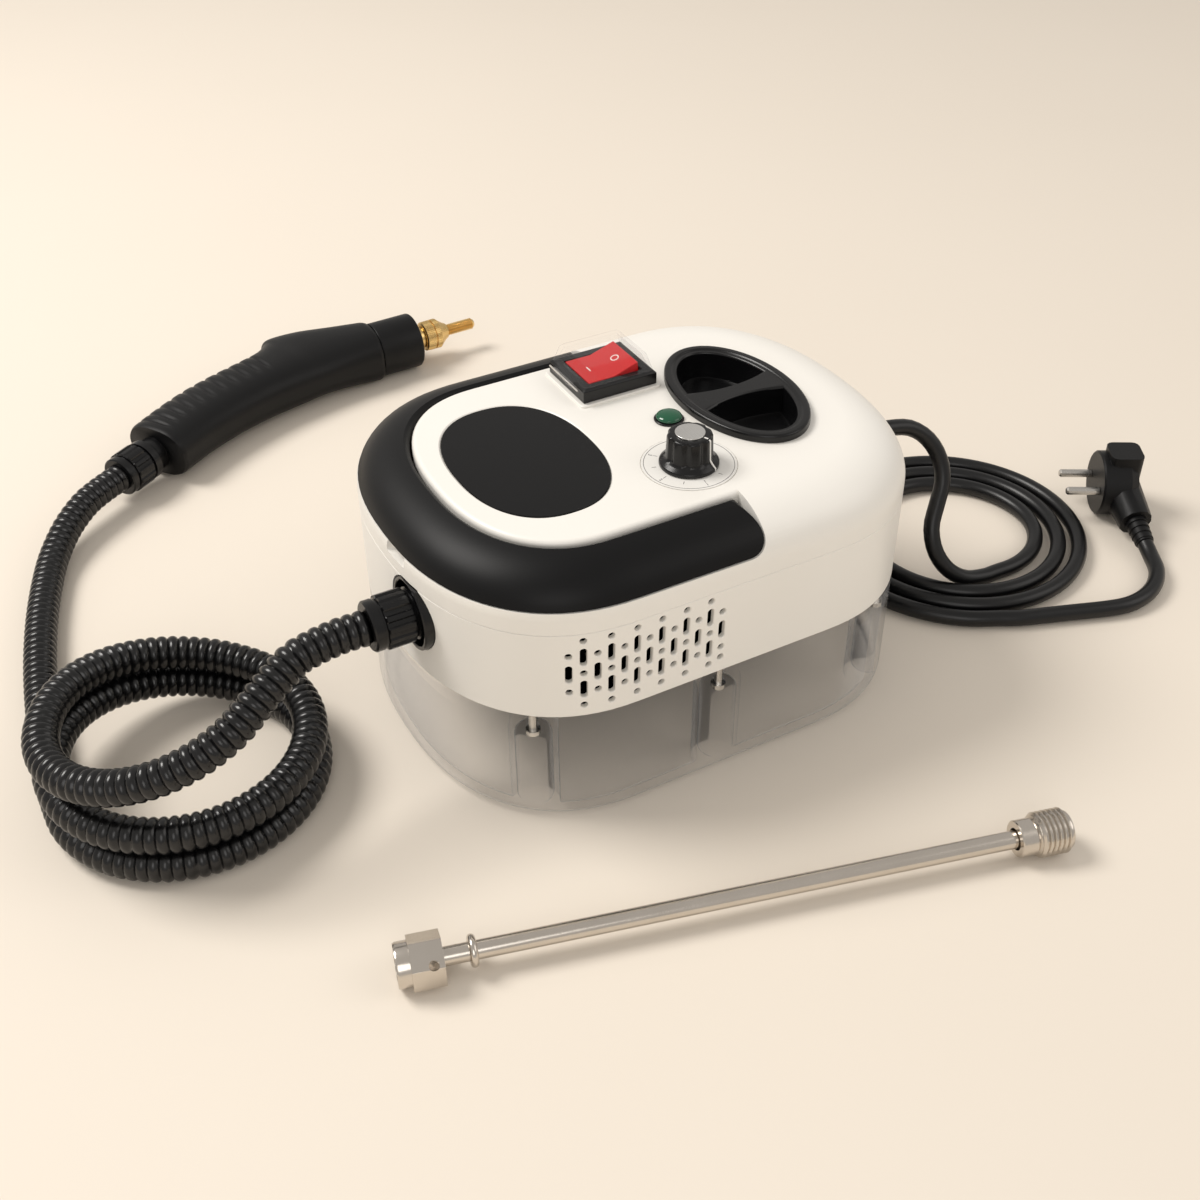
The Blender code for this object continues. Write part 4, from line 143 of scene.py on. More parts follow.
skin_group, skin_in, skin_out = new_group(
    "moulded_skin",
    [("Vector", "NodeSocketVector", None), ("Grain scale", "NodeSocketFloat", 2200.0),
     ("Grain depth", "NodeSocketFloat", 0.5), ("Roughness", "NodeSocketFloat", 0.35),
     ("Spread", "NodeSocketFloat", 0.08)],
    [("Roughness", "NodeSocketFloat"), ("Height", "NodeSocketFloat"), ("Tone", "NodeSocketFloat")])
grain = noise_node(skin_group, skin_in.outputs["Vector"], skin_in.outputs["Grain scale"], 2)
smudge = noise_node(skin_group, skin_in.outputs["Vector"], SMUDGE_SCALE, 4)
centred = math_node(skin_group, "SUBTRACT", smudge, 0.5)
spread = math_node(skin_group, "MULTIPLY_ADD", centred,
                   skin_in.outputs["Spread"], skin_in.outputs["Roughness"])
grain_height = math_node(skin_group, "MULTIPLY", grain, skin_in.outputs["Grain depth"])
skin_group.links.new(spread, skin_out.inputs["Roughness"])
skin_group.links.new(grain_height, skin_out.inputs["Height"])
skin_group.links.new(smudge, skin_out.inputs["Tone"])

# %% [markdown]
# The second group is for turned and polished metal. Such rings run across the axis only, so a noise in one
# dimension, read along the axis, makes them without a texture of its own.

# %% Turned marks
turned_group, turned_in, turned_out = new_group(
    "turned_marks",
    [("Vector", "NodeSocketVector", None), ("Ring scale", "NodeSocketFloat", 900.0),
     ("Depth", "NodeSocketFloat", 0.5), ("Roughness", "NodeSocketFloat", 0.22),
     ("Spread", "NodeSocketFloat", 0.1)],
    [("Roughness", "NodeSocketFloat"), ("Height", "NodeSocketFloat")])
split = turned_group.nodes.new("ShaderNodeSeparateXYZ")
turned_group.links.new(turned_in.outputs["Vector"], split.inputs[0])
along = math_node(turned_group, "MULTIPLY", split.outputs["X"], turned_in.outputs["Ring scale"])
rings = turned_group.nodes.new("ShaderNodeTexNoise")
rings.noise_dimensions = "1D"
rings.inputs["Scale"].default_value = 1
rings.inputs["Detail"].default_value = 3
turned_group.links.new(along, rings.inputs["W"])
ring_height = math_node(turned_group, "MULTIPLY", rings.outputs["Fac"], turned_in.outputs["Depth"])
ring_tone = math_node(turned_group, "SUBTRACT", rings.outputs["Fac"], 0.5)
ring_spread = math_node(turned_group, "MULTIPLY_ADD", ring_tone,
                        turned_in.outputs["Spread"], turned_in.outputs["Roughness"])
turned_group.links.new(ring_height, turned_out.inputs["Height"])
turned_group.links.new(ring_spread, turned_out.inputs["Roughness"])

# %% [markdown]
# The third is a dust veil. Dust settles on what faces up, so the mask is a speckle times the normal's height.
# Black gloss without any of it looks like a hole in the picture, so every black gets a trace.

# %% Dust veil
DUST_SCALE = 240

dust_group, dust_in, dust_out = new_group(
    "dust_veil", [("Vector", "NodeSocketVector", None), ("Amount", "NodeSocketFloat", 0.1)],
    [("Mask", "NodeSocketFloat")])
specks = noise_node(dust_group, dust_in.outputs["Vector"], DUST_SCALE, 6)
surface = dust_group.nodes.new("ShaderNodeNewGeometry")
facing = dust_group.nodes.new("ShaderNodeSeparateXYZ")
dust_group.links.new(surface.outputs["Normal"], facing.inputs[0])
upward = math_node(dust_group, "MAXIMUM", facing.outputs["Z"], 0.0)
settled = math_node(dust_group, "MULTIPLY", specks, upward)
veil = math_node(dust_group, "MULTIPLY", settled, dust_in.outputs["Amount"])
dust_group.links.new(veil, dust_out.inputs["Mask"])
print("shader groups:", skin_group.name, turned_group.name, dust_group.name)

# %% [markdown]
# ## The finishes
#
# Each material is a Principled shader fed by those groups. The white of the housing is a warm, satin white;
# the blacks differ in gloss, from the matte handle to the shiny hose; the clear tank is a thin skin, so it
# is nearly invisible face on and turns grey towards its edges, which is what a Layer Weight node gives.

# %% Material helpers
def start_material(name, colour, roughness, metallic=0.0):
    made = bpy.data.materials.new(name)
    made.use_nodes = True
    shader = made.node_tree.nodes["Principled BSDF"]
    shader.inputs["Base Color"].default_value = (*colour, 1)
    shader.inputs["Roughness"].default_value = roughness
    shader.inputs["Metallic"].default_value = metallic
    made.diffuse_color = (*colour, 1)
    place = made.node_tree.nodes.new("ShaderNodeTexCoord")
    return made, made.node_tree, shader, place.outputs["Object"]


def use_group(tree, group, vector, values):
    node = tree.nodes.new("ShaderNodeGroup")
    node.node_tree = group
    tree.links.new(vector, node.inputs["Vector"])
    for label, value in values.items():
        node.inputs[label].default_value = value
    return node


def tint(tree, shader, colour, other, mask):
    """Base Color goes from colour to other where the mask is high."""
    mix = tree.nodes.new("ShaderNodeMix")
    mix.data_type = "RGBA"
    mix.inputs["A"].default_value = (*colour, 1)
    mix.inputs["B"].default_value = (*other, 1)
    tree.links.new(mask, mix.inputs["Factor"])
    tree.links.new(mix.outputs["Result"], shader.inputs["Base Color"])


def bump(tree, shader, height, distance):
    node = tree.nodes.new("ShaderNodeBump")
    node.inputs["Distance"].default_value = distance
    tree.links.new(height, node.inputs["Height"])
    tree.links.new(node.outputs["Normal"], shader.inputs["Normal"])


def start_plastic(name, colour, roughness, spread, grain_scale=2200):
    """What all plastics share: a shader whose roughness comes from the moulded skin."""
    made, tree, shader, vector = start_material(name, colour, roughness)
    skin = use_group(tree, skin_group, vector, {"Grain scale": grain_scale, "Grain depth": 1.0,
                                                "Roughness": roughness, "Spread": spread})
    tree.links.new(skin.outputs["Roughness"], shader.inputs["Roughness"])
    return made, tree, shader, skin, vector


def plastic(name, colour, other, roughness, spread, grain_scale, grain_depth, dust=0.0, shine=0.5):
    """A plastic or rubber: its colour drifts towards other, and shine is how strongly it mirrors."""
    made, tree, shader, skin, vector = start_plastic(name, colour, roughness, spread, grain_scale)
    shader.inputs["Specular IOR Level"].default_value = shine
    bump(tree, shader, skin.outputs["Height"], grain_depth)
    mask = skin.outputs["Tone"]
    if dust:
        mask = use_group(tree, dust_group, vector, {"Amount": dust}).outputs["Mask"]
    tint(tree, shader, colour, other, mask)
    return made


def metal(name, colour, other, roughness, spread, ring_scale, depth, heading=0.0):
    """A turned metal whose rings lie across its length, which runs along the heading in plan."""
    made, tree, shader, vector = start_material(name, colour, roughness, 1.0)
    turn = tree.nodes.new("ShaderNodeMapping")
    turn.inputs["Rotation"].default_value = (0, 0, -heading)
    tree.links.new(vector, turn.inputs["Vector"])
    marks = use_group(tree, turned_group, turn.outputs["Vector"], {"Ring scale": ring_scale, "Depth": 1.0,
                                                                   "Roughness": roughness, "Spread": spread})
    tree.links.new(marks.outputs["Roughness"], shader.inputs["Roughness"])
    bump(tree, shader, marks.outputs["Height"], depth)
    tint(tree, shader, colour, other, noise_node(tree, vector, SMUDGE_SCALE * 4, 3))
    return made


# %% [markdown]
# White shells, black mouldings, rubber and printed marks are all the same recipe. What tells them apart is
# the gloss: a glossy hose, a satin handle and a matte grip share a colour and still read as three materials.

# %% Plastics, rubber and print
WHITE = (0.86, 0.835, 0.785)
WHITE_SHADE = (0.83, 0.80, 0.745)
DUST = (0.10, 0.095, 0.09)
BLACK_BLUE = 0.0004


def black(name, level, roughness, spread, grain_scale, grain_depth, shine, dust=0.006):
    """A black moulding with a trace of blue and of dust; level is how much light it sends back."""
    colour = (level, level, level + BLACK_BLUE)
    return plastic(name, colour, DUST, roughness, spread, grain_scale, grain_depth, dust, shine)


white_shell = plastic("white_shell_satin", WHITE, WHITE_SHADE, 0.36, 0.10, 2600, 0.00002)
black_handle = black("black_handle_satin", 0.0030, 0.42, 0.10, 3200, 0.00003, 0.20)
black_gloss = black("black_moulding_gloss", 0.0030, 0.26, 0.10, 2400, 0.00002, 0.36)
black_panel = black("black_panel_film", 0.0026, 0.22, 0.08, 1500, 0.00001, 0.22, 0.004)
black_grip = black("black_grip_matte", 0.0034, 0.42, 0.12, 3600, 0.00005, 0.24)
hose_black = black("hose_black_gloss", 0.0028, 0.24, 0.12, 1800, 0.00002, 0.48)
lead_black = black("lead_black_sheen", 0.0030, 0.33, 0.12, 1800, 0.00003, 0.40)
seal_rubber = plastic("seal_rubber", (0.02, 0.02, 0.02), DUST, 0.6, 0.1, 2000, 0.00004, 0.04)
dial_white = plastic("dial_white", (0.80, 0.79, 0.76), WHITE_SHADE, 0.42, 0.08, 2600, 0.00002)
board_green = plastic("board_green", (0.02, 0.13, 0.06), (0.03, 0.18, 0.08), 0.5, 0.1, 900, 0.00002)
pointer_white = plastic("pointer_white", (0.80, 0.79, 0.77), WHITE_SHADE, 0.5, 0.08, 2600, 0.00001)
ink_grey = plastic("dial_ink", (0.13, 0.12, 0.12), (0.18, 0.17, 0.17), 0.6, 0.08, 2600, 0.00001)

# %% [markdown]
# The wand is plated steel and its tone is warm; the nozzle is turned brass; screws and pins are plain bright
# steel. Each takes the turned marks at its own scale, turned in plan to lie along its axis.

# %% Metals
WAND_START = Vector((-193, -141, 10.5)) * MM
WAND_END = Vector((104, -218, 10.5)) * MM
WAND_HEADING = math.atan2(WAND_END.y - WAND_START.y, WAND_END.x - WAND_START.x)
NOZZLE_HEADING = math.radians(2.5)

wand_steel = metal("wand_plated_steel", (0.66, 0.61, 0.55), (0.58, 0.53, 0.47), 0.20, 0.16, 5200, 0.00001,
                   WAND_HEADING)
bright_steel = metal("bright_steel", (0.62, 0.60, 0.57), (0.52, 0.50, 0.47), 0.25, 0.12, 3000, 0.00001)
brass = metal("turned_brass", (0.83, 0.60, 0.27), (0.72, 0.49, 0.19), 0.24, 0.14, 5200, 0.00002,
              NOZZLE_HEADING)
knob_silver = metal("knob_disc_silver", (0.78, 0.77, 0.75), (0.66, 0.65, 0.63), 0.26, 0.10, 5200, 0.00001)

# %% [markdown]
# Clear walls could be real refracting glass. A wall this thin hardly bends light, and a shell that only
# changes how much it covers renders cleanly and shows the screws behind it, so that is what is used here.

# %% Clear and tinted plastics
EDGE_BLEND = 0.32
EDGE_FIRST = 0.35


def clear_plastic(name, colour, edge_colour, face_share, edge_share, roughness):
    """A thin clear wall, whose cover rises from face_share face on to edge_share at its edges."""
    made, tree, shader = start_plastic(name, colour, roughness, 0.05)[:3]
    weight = tree.nodes.new("ShaderNodeLayerWeight")
    weight.inputs["Blend"].default_value = EDGE_BLEND
    cover = tree.nodes.new("ShaderNodeMapRange")
    cover.inputs["From Min"].default_value = EDGE_FIRST
    cover.inputs["To Min"].default_value = face_share
    cover.inputs["To Max"].default_value = edge_share
    tree.links.new(weight.outputs["Facing"], cover.inputs["Value"])
    tree.links.new(cover.outputs["Result"], shader.inputs["Alpha"])
    tint(tree, shader, colour, edge_colour, weight.outputs["Facing"])
    made.surface_render_method = "BLENDED"
    return made


def tinted_plastic(name, colour, deep, roughness, painted_glow):
    """A coloured translucent moulding whose colour drifts at random towards deep; it emits faintly in its own
    colour, painted light in place of the light that passes into it.
    """
    made, tree, shader, skin = start_plastic(name, colour, roughness, 0.06)[:4]
    tint(tree, shader, colour, deep, skin.outputs["Tone"])
    shader.inputs["Coat Weight"].default_value = 0.3
    # Painted light: a faint emission in the moulding's own colour stands in for light passing into it, though the
    # part is no lamp.
    shader.inputs["Emission Color"].default_value = (*colour, 1)
    shader.inputs["Emission Strength"].default_value = painted_glow
    return made


clear_tank = clear_plastic("clear_tank_wall", (0.86, 0.86, 0.87), (0.30, 0.31, 0.33), 0.012, 0.72, 0.06)
clear_cover = clear_plastic("clear_switch_cover", (0.80, 0.80, 0.81), (0.55, 0.55, 0.57), 0.008, 0.42, 0.05)
# The red rocker is given a faint painted emission; the green lamp lens is given none.
red_rocker = tinted_plastic("red_rocker_lens", (0.60, 0.002, 0.003), (0.36, 0.001, 0.002), 0.24, 0.03)
green_lens = tinted_plastic("green_lamp_lens", (0.004, 0.105, 0.045), (0.002, 0.06, 0.025), 0.14, 0.0)
print("materials:", len(bpy.data.materials))

# %% [markdown]
# ## Helpers for the shapes
#
# Three ways of making a closed solid serve nearly every piece. A round piece is spun from its profile. A
# moulded shell is drawn: a circle of points is extruded again and again, and each new loop is moved to the
# next section, as one would do by hand in the editor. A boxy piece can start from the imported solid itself,
# whose hard edges are dissolved back to real faces and then bevelled. Tools made the same three ways cut
# pockets and holes with an exact boolean.

# %% Drawn and spun solids
def drawn(sections, closed=False):
    """A solid through sections of equally many points; closed joins the last to the first."""
    bm = bmesh.new()
    count = len(sections[0])
    row = bmesh.ops.create_circle(bm, cap_ends=False, segments=count, radius=1)["verts"]
    first = row
    for vert, point in zip(row, sections[0]):
        vert.co = point
    for section in sections[1:] + (sections[:1] if closed else []):
        edges = [bm.edges.get((row[k - 1], row[k])) for k in range(count)]
        made = bmesh.ops.extrude_edge_only(bm, edges=edges)["geom"]
        fresh = {vert for vert in made if isinstance(vert, bmesh.types.BMVert)}
        row = [next(edge.other_vert(vert) for edge in vert.link_edges if edge.other_vert(vert) in fresh)
               for vert in row]
        for vert, point in zip(row, section):
            vert.co = point
    if closed:
        bmesh.ops.remove_doubles(bm, verts=bm.verts, dist=1e-7)
    else:
        bm.faces.new(first)
        bm.faces.new(row)
    bmesh.ops.recalc_face_normals(bm, faces=bm.faces)
    return bm


def spun(profile, count, place=Matrix.Identity(4), ring=False):
    """Turns (radius, height) pairs into a solid; a ring closes its profile on itself, not on the axis."""
    bm = bmesh.new()
    points = list(profile) if ring else [(0, profile[0][1])] + list(profile) + [(0, profile[-1][1])]
    verts = [bm.verts.new((radius, 0, height)) for radius, height in points]
    edges = [bm.edges.new(pair) for pair in zip(verts, verts[1:])]
    if ring:
        edges.append(bm.edges.new((verts[-1], verts[0])))
    bmesh.ops.spin(bm, geom=verts + edges, cent=(0, 0, 0), axis=(0, 0, 1), angle=2 * math.pi, steps=count,
                   use_merge=True)
    bmesh.ops.remove_doubles(bm, verts=bm.verts, dist=1e-6)
    bmesh.ops.recalc_face_normals(bm, faces=bm.faces)
    bm.transform(place)
    return bm


def rod(radius, low, high, count, place):
    """A plain round bar between two heights."""
    return spun([(radius, low), (radius, high)], count, place)


def hoop(inner, outer, low, high, count, place):
    """A ring of square section."""
    return spun([(inner, low), (outer, low), (outer, high), (inner, high)], count, place, ring=True)


# %% [markdown]
# A profile can be written in millimetres and get its corners eased. A frame says where a spun piece stands
# and which way it points, and most of the pieces of the deck stand upright on the plan.

# %% Profiles and frames
def in_mm(pairs, start=0.0):
    """A profile that is written in millimetres, with its heights counted from start."""
    return [(radius * MM, start + height * MM) for radius, height in pairs]


def eased(points, radius, steps=3):
    """A profile with each inner corner rounded by about the radius, as far as its sides allow."""
    found = [points[0]]
    for before, here, after in zip(points, points[1:], points[2:]):
        a, p, b = Vector(before), Vector(here), Vector(after)
        reach = min(radius, 0.45 * (a - p).length, 0.45 * (b - p).length)
        start = p + (a - p).normalized() * reach
        end = p + (b - p).normalized() * reach
        for k in range(steps + 1):
            t = k / steps
            found.append(tuple(start * (1 - t) ** 2 + p * 2 * t * (1 - t) + end * t * t))
    return found + [points[-1]]


def aim(point, direction):
    """A frame at point whose Z axis runs along direction."""
    ahead = Vector(direction).normalized()
    side = Vector((0, 0, 1)).cross(ahead)
    side = side.normalized() if side.length > 1e-6 else Vector((1, 0, 0))
    place = Matrix((side, ahead.cross(side), ahead)).transposed().to_4x4()
    place.translation = Vector(point)
    return place


def upright(spot):
    """A frame that stands on a spot of the plan."""
    return Matrix.Translation((spot[0], spot[1], 0))


def around(centre, radius, turn, z):
    """The point of a level circle at a turn."""
    return Vector((centre[0] + radius * math.cos(turn), centre[1] + radius * math.sin(turn), z))


def quarter_turn(steps):
    """How far in and how far up the steps of a quarter circle go, as shares of its radius."""
    turns = [math.pi / 2 * k / steps for k in range(1, steps + 1)]
    return [(1 - math.cos(turn), math.sin(turn)) for turn in turns]


def toothed_ring(place, radius, z, count, period, teeth, depth):
    """A ring that stands out by depth at the points of each period that teeth lists."""
    ring = []
    for k in range(count):
        step = depth if k % period in teeth else 0.0
        ring.append(place @ around((0, 0), radius + step, 2 * math.pi * k / count, z))
    return ring


# %% [markdown]
# Every piece then goes through the same hands: it is put on its body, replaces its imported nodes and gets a
# colour slot. Cuts are applied at once, so that what is bevelled afterwards is the final edge.

# %% Pieces, booleans and softened copies
FLAT_ANGLE = math.radians(1)
HARD_ANGLE = math.radians(30)


def piece(name, bm, look, body, stands_for=(), sharp=34):
    """Puts a finished mesh on its CAD body, in place of the nodes that it stands for."""
    mesh = bpy.data.meshes.new(name)
    bm.to_mesh(mesh)
    bm.free()
    mesh.materials.append(look)
    mesh.shade_smooth()
    mesh.set_sharp_from_angle(angle=math.radians(sharp))
    item = linked(name, mesh)
    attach(item, body)
    if stands_for:
        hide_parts(*stands_for)
    return item


def cut(item, bm, operation="DIFFERENCE"):
    """Cuts the item with the solid in bm at once, or joins the two."""
    mesh = bpy.data.meshes.new("tool")
    bm.to_mesh(mesh)
    bm.free()
    tool = linked("tool", mesh)
    modifier = item.modifiers.new("cut", "BOOLEAN")
    modifier.operation = operation
    modifier.solver = "EXACT"
    modifier.object = tool
    bpy.context.view_layer.update()
    result = bpy.data.meshes.new_from_object(item.evaluated_get(bpy.context.evaluated_depsgraph_get()))
    item.modifiers.remove(modifier)
    old = item.data
    item.data = result
    bpy.data.meshes.remove(old)
    bpy.data.objects.remove(tool)
    return item


def taken(item):
    """An item's mesh for use as a tool; the item itself goes."""
    bm = bmesh.new()
    bm.from_mesh(item.data)
    bpy.data.objects.remove(item)
    return bm


def crisp(item, sharp=34, bevel=0.0, segments=2):
    """Smooth shading with true edges after the cuts, and a small bevel where one is given."""
    item.data.shade_smooth()
    item.data.set_sharp_from_angle(angle=math.radians(sharp))
    if bevel:
        edge = item.modifiers.new("edge", "BEVEL")
        edge.width = bevel
        edge.segments = segments
        edge.limit_method = "ANGLE"
        edge.angle_limit = math.radians(sharp)
        edge.harden_normals = True
    normals = item.modifiers.new("normals", "WEIGHTED_NORMAL")
    normals.keep_sharp = True
    return item


def softened(name, node, width, look, body, segments=2):
    """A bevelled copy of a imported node, whose triangles are first merged back to whole faces."""
    bm = bmesh.new()
    bm.from_mesh(nodes[node].data)
    bmesh.ops.remove_doubles(bm, verts=bm.verts, dist=1e-6)
    bmesh.ops.dissolve_limit(bm, angle_limit=FLAT_ANGLE, use_dissolve_boundaries=False,
                             verts=bm.verts, edges=bm.edges)
    edges = [edge for edge in bm.edges if len(edge.link_faces) == 2 and edge.calc_face_angle() > HARD_ANGLE]
    bmesh.ops.bevel(bm, geom=edges, offset=width, offset_type="OFFSET", segments=segments, profile=0.5,
                    affect="EDGES", clamp_overlap=True, material=-1)
    return crisp(piece(name, bm, look, body, (node,)))


# %% [markdown]
# ## The steam hose
#
# A hose like this is a corrugated tube: narrow ribs, each a rounded bead, follow one another a few
# millimetres apart. Its route leaves the port level, comes down to the left, lands on the top of a coil and
# goes round clockwise, stepping down a layer behind each time, until it runs along the counter to the gun.
# The route is worked out once as points, and a circle is extruded along it: six loops make one rib.

# %% The hose's route
HOSE_RADIUS = 8.5 * MM
HOSE_ROOT = 7.1 * MM
COIL_CENTRE = Vector((-234, 17)) * MM
COIL_RADIUS = 60 * MM
COIL_LAYER = 17.9 * MM
FLOOR_LIFT = 0.4 * MM
COIL_START_DEG = 61
COIL_LANDING_DEG = 210
COIL_LEAD_DROP = 38 * MM
COIL_CLIMB_START_DEG = 212
COIL_CLIMB_DEG = 120
COIL_LEAVING_DEG = 185
COIL_TURNS = 2
COIL_STEPS = 220


def ease(share):
    share = min(max(share, 0.0), 1.0)
    return share * share * (3 - 2 * share)


def coil_point(angle):
    before = max(COIL_LANDING_DEG - angle, 0) / (COIL_LANDING_DEG - COIL_START_DEG)
    layers = COIL_TURNS
    for turn in range(COIL_TURNS):
        layers -= ease((angle - COIL_CLIMB_START_DEG - 360 * turn) / COIL_CLIMB_DEG)
    height = HOSE_RADIUS + FLOOR_LIFT + layers * COIL_LAYER + COIL_LEAD_DROP * before ** 2
    turn = -math.radians(angle)
    return around(COIL_CENTRE, COIL_RADIUS, turn, height)


def smooth_curve(points, per_span):
    """Catmull-Rom points through a given route."""
    route = [Vector(p) for p in points]
    route = [2 * route[0] - route[1]] + route + [2 * route[-1] - route[-2]]
    found = []
    for k in range(1, len(route) - 2):
        a, b, c, d = route[k - 1:k + 3]
        for step in range(per_span):
            t = step / per_span
            found.append(0.5 * ((2 * b) + (c - a) * t + (2 * a - 5 * b + 4 * c - d) * t ** 2
                                + (3 * b - a - 3 * c + d) * t ** 3))
    return found + [route[-2]]


def path_length(points):
    return sum((b - a).length for a, b in zip(points, points[1:]))


def spaced(points, pitch):
    """Points a steady pitch apart along a run of points, ends kept."""
    lengths = [0.0]
    for a, b in zip(points, points[1:]):
        lengths.append(lengths[-1] + (b - a).length)
    count = max(1, round(lengths[-1] / pitch))
    found = []
    k = 0
    for step in range(count + 1):
        at = lengths[-1] * step / count
        while k < len(points) - 2 and lengths[k + 1] < at:
            k += 1
        share = (at - lengths[k]) / (lengths[k + 1] - lengths[k])
        found.append(points[k].lerp(points[k + 1], min(max(share, 0.0), 1.0)))
    return found


# %% [markdown]
# ## The hose's way
#
# The hose is laid as a person would lay it: level out of its port, down on to a coil of its own, then across
# the floor to the gun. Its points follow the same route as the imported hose, so the drawn one rests where that
# one does. The coil rises a little with each turn, and the strand to the port lands on top.

# %% The hose's points
PORT_ROUTE = [(-150.3, -25, 93), (-164.3, -25, 93), (-179, -26.3, 91.8), (-188.5, -28.4, 89.6)]
FLOOR_CORNER = (-283.9, 135.3)
GUN_NUT_LENGTH = 25 * MM
GUN_BEND_RADIUS = 110 * MM
GUN_BEND_DEG = -37.3


def node_middle(name):
    low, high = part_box(name)
    return (Vector(low) + Vector(high)) / 2


def bend_run(leg, ahead, radius, turned_deg, shares, floor_z):
    """Places round an easy bend on the floor that comes up to a leg, into which it runs along ahead."""
    level = Vector((ahead.x, ahead.y, 0)).normalized()
    spoke = Vector((level.y, -level.x, 0)) * radius * math.copysign(1, turned_deg)
    found = []
    for share in shares:
        point = leg - spoke + Matrix.Rotation(-math.radians(turned_deg) * (1 - share), 4, "Z") @ spoke
        point.z = floor_z + (leg.z - floor_z) * ease(share)
        found.append(point)
    return found


gun_inward = (node_middle("gun_inlet") - node_middle("gun_hose_nut")).normalized()
gun_end = node_middle("gun_hose_nut") - gun_inward * (GUN_NUT_LENGTH / 2 + GAP)
coil_end = COIL_LEAVING_DEG + 360 * COIL_TURNS
coil = [coil_point(COIL_START_DEG + (coil_end - COIL_START_DEG) * k / COIL_STEPS)
        for k in range(COIL_STEPS + 1)]
leaving = (coil[-1] - coil[-2]).normalized()
floor_z = HOSE_RADIUS + FLOOR_LIFT
hose_route = [Vector(p) * MM for p in PORT_ROUTE] + coil[::4]
foot = coil[-1] + leaving * 2 * HOSE_RADIUS
leg = gun_end - gun_inward * 2 * HOSE_RADIUS
bend = bend_run(leg, gun_inward, GUN_BEND_RADIUS, GUN_BEND_DEG, (0, 0.27, 0.54, 0.8), floor_z)
corner = Vector((*FLOOR_CORNER, floor_z / MM)) * MM
sweep = [foot * (1 - t) ** 2 + corner * 2 * t * (1 - t) + bend[0] * t * t for t in (0.2, 0.4, 0.6, 0.8)]
hose_route += [foot] + sweep + bend + [leg, gun_end]
hose_points = smooth_curve(hose_route, 6)
print("hose is", round(path_length(hose_points), 3), "m long")

# %% [markdown]
# ## The hose's skin
#
# A corrugated hose is a tube whose radius swells and shrinks along its length. Rings of points are set square
# to the path, a few to each rib, and joined into one closed skin with real ribs that catch the light.

# %% The corrugated hose
HOSE_SIDES = 18
RIB_PITCH = 5 * MM
RIB_SHARES = (0.0, 0.62, 0.93, 1.0, 0.93, 0.62)


def path_frames(points):
    """Side and up directions carried along a path without twist."""
    side = None
    for k, here in enumerate(points):
        ahead = (points[min(k + 1, len(points) - 1)] - points[max(k - 1, 0)]).normalized()
        if side is None:
            side = ahead.cross(Vector((0, 0, 1))).normalized()
        side = (side - ahead * side.dot(ahead)).normalized()
        yield here, side, side.cross(ahead)


rib_points = spaced(hose_points, RIB_PITCH / len(RIB_SHARES))
hose_rings = []
for k, (here, side, up) in enumerate(path_frames(rib_points)):
    radius = HOSE_ROOT + (HOSE_RADIUS - HOSE_ROOT) * RIB_SHARES[k % len(RIB_SHARES)]
    turns = [2 * math.pi * n / HOSE_SIDES for n in range(HOSE_SIDES)]
    hose_rings.append([here + (side * math.cos(t) + up * math.sin(t)) * radius for t in turns])
steam_hose = piece("steam_hose", drawn(hose_rings), hose_black, "root",
                   ("hose_port_stretch", "hose_coil", "hose_gun_stretch"), 80)
print("hose ribs:", len(rib_points) // len(RIB_SHARES))

# %% [markdown]
# ## The mains lead
#
# A round black lead with a slightly shiny sheath. It leaves the strain relief level, drops to the counter
# and lies there in a flat spiral that opens out from the landing, and its tail goes to the plug. A Blender
# curve with a round bevel is enough for it, because nothing on it changes along its length.

# %% The lead's route and curve
LEAD_RADIUS = 4.5 * MM
LEAD_START = Vector((155.3, 0, 90)) * MM
LEAD_CENTRE = Vector((215, -5)) * MM
LEAD_INNER_RADIUS = 46 * MM
LEAD_OUTER_RADIUS = 81 * MM
LEAD_LANDING_DEG = 265
LEAD_LANDING_INSET = 4 * MM
LEAD_SETTLING_DEG = 90
LEAD_LEAVING_DEG = 250
LEAD_TURNS = 3
LEAD_BEND_RADIUS = 42 * MM
LEAD_BEND_DEG = 90
PLUG_ARM_HEADING = math.radians(-112)
PLUG_ARM_SLOPE = -0.24
PLUG_PIN_HEADING = math.radians(150)
PLUG_MIDDLE = Vector((316, -26, 19.3)) * MM
PLUG_ARM_BACK_MM = 2.52
PLUG_ARM_REACH_MM = 48.6
SPIRAL_STEPS = 76
PLUG_ARM = around((0, 0), 1, PLUG_ARM_HEADING, PLUG_ARM_SLOPE).normalized()
PLUG_PINS = around((0, 0), 1, PLUG_PIN_HEADING, 0)
PLUG_ARM_ROOT = PLUG_MIDDLE - PLUG_PINS * PLUG_ARM_BACK_MM * MM
LEAD_END = PLUG_ARM_ROOT + PLUG_ARM * PLUG_ARM_REACH_MM * MM


def lead_point(angle):
    share = (angle - LEAD_LANDING_DEG) / (LEAD_LEAVING_DEG + 360 * LEAD_TURNS - LEAD_LANDING_DEG)
    radius = LEAD_INNER_RADIUS + (LEAD_OUTER_RADIUS - LEAD_INNER_RADIUS) * share
    radius -= LEAD_LANDING_INSET * (1 - ease((angle - LEAD_LANDING_DEG) / LEAD_SETTLING_DEG))
    turn = math.radians(angle)
    return around(LEAD_CENTRE, radius, turn, LEAD_RADIUS + FLOOR_LIFT)


def double_bend(start, end, ahead, count):
    """Two equal arcs, back to back, that leave one place and reach another both in the same direction."""
    gap = end - start
    across = gap - ahead * gap.dot(ahead)
    half = math.atan2(across.length, gap.dot(ahead))
    radius = gap.length / (4 * math.sin(half))
    across.normalize()
    steps = []
    for k in range(count + 1):
        turn = 2 * half * k / count
        steps.append(ahead * radius * math.sin(turn) + across * radius * (1 - math.cos(turn)))
    return [start + step for step in steps] + [end - step for step in reversed(steps[:-1])]


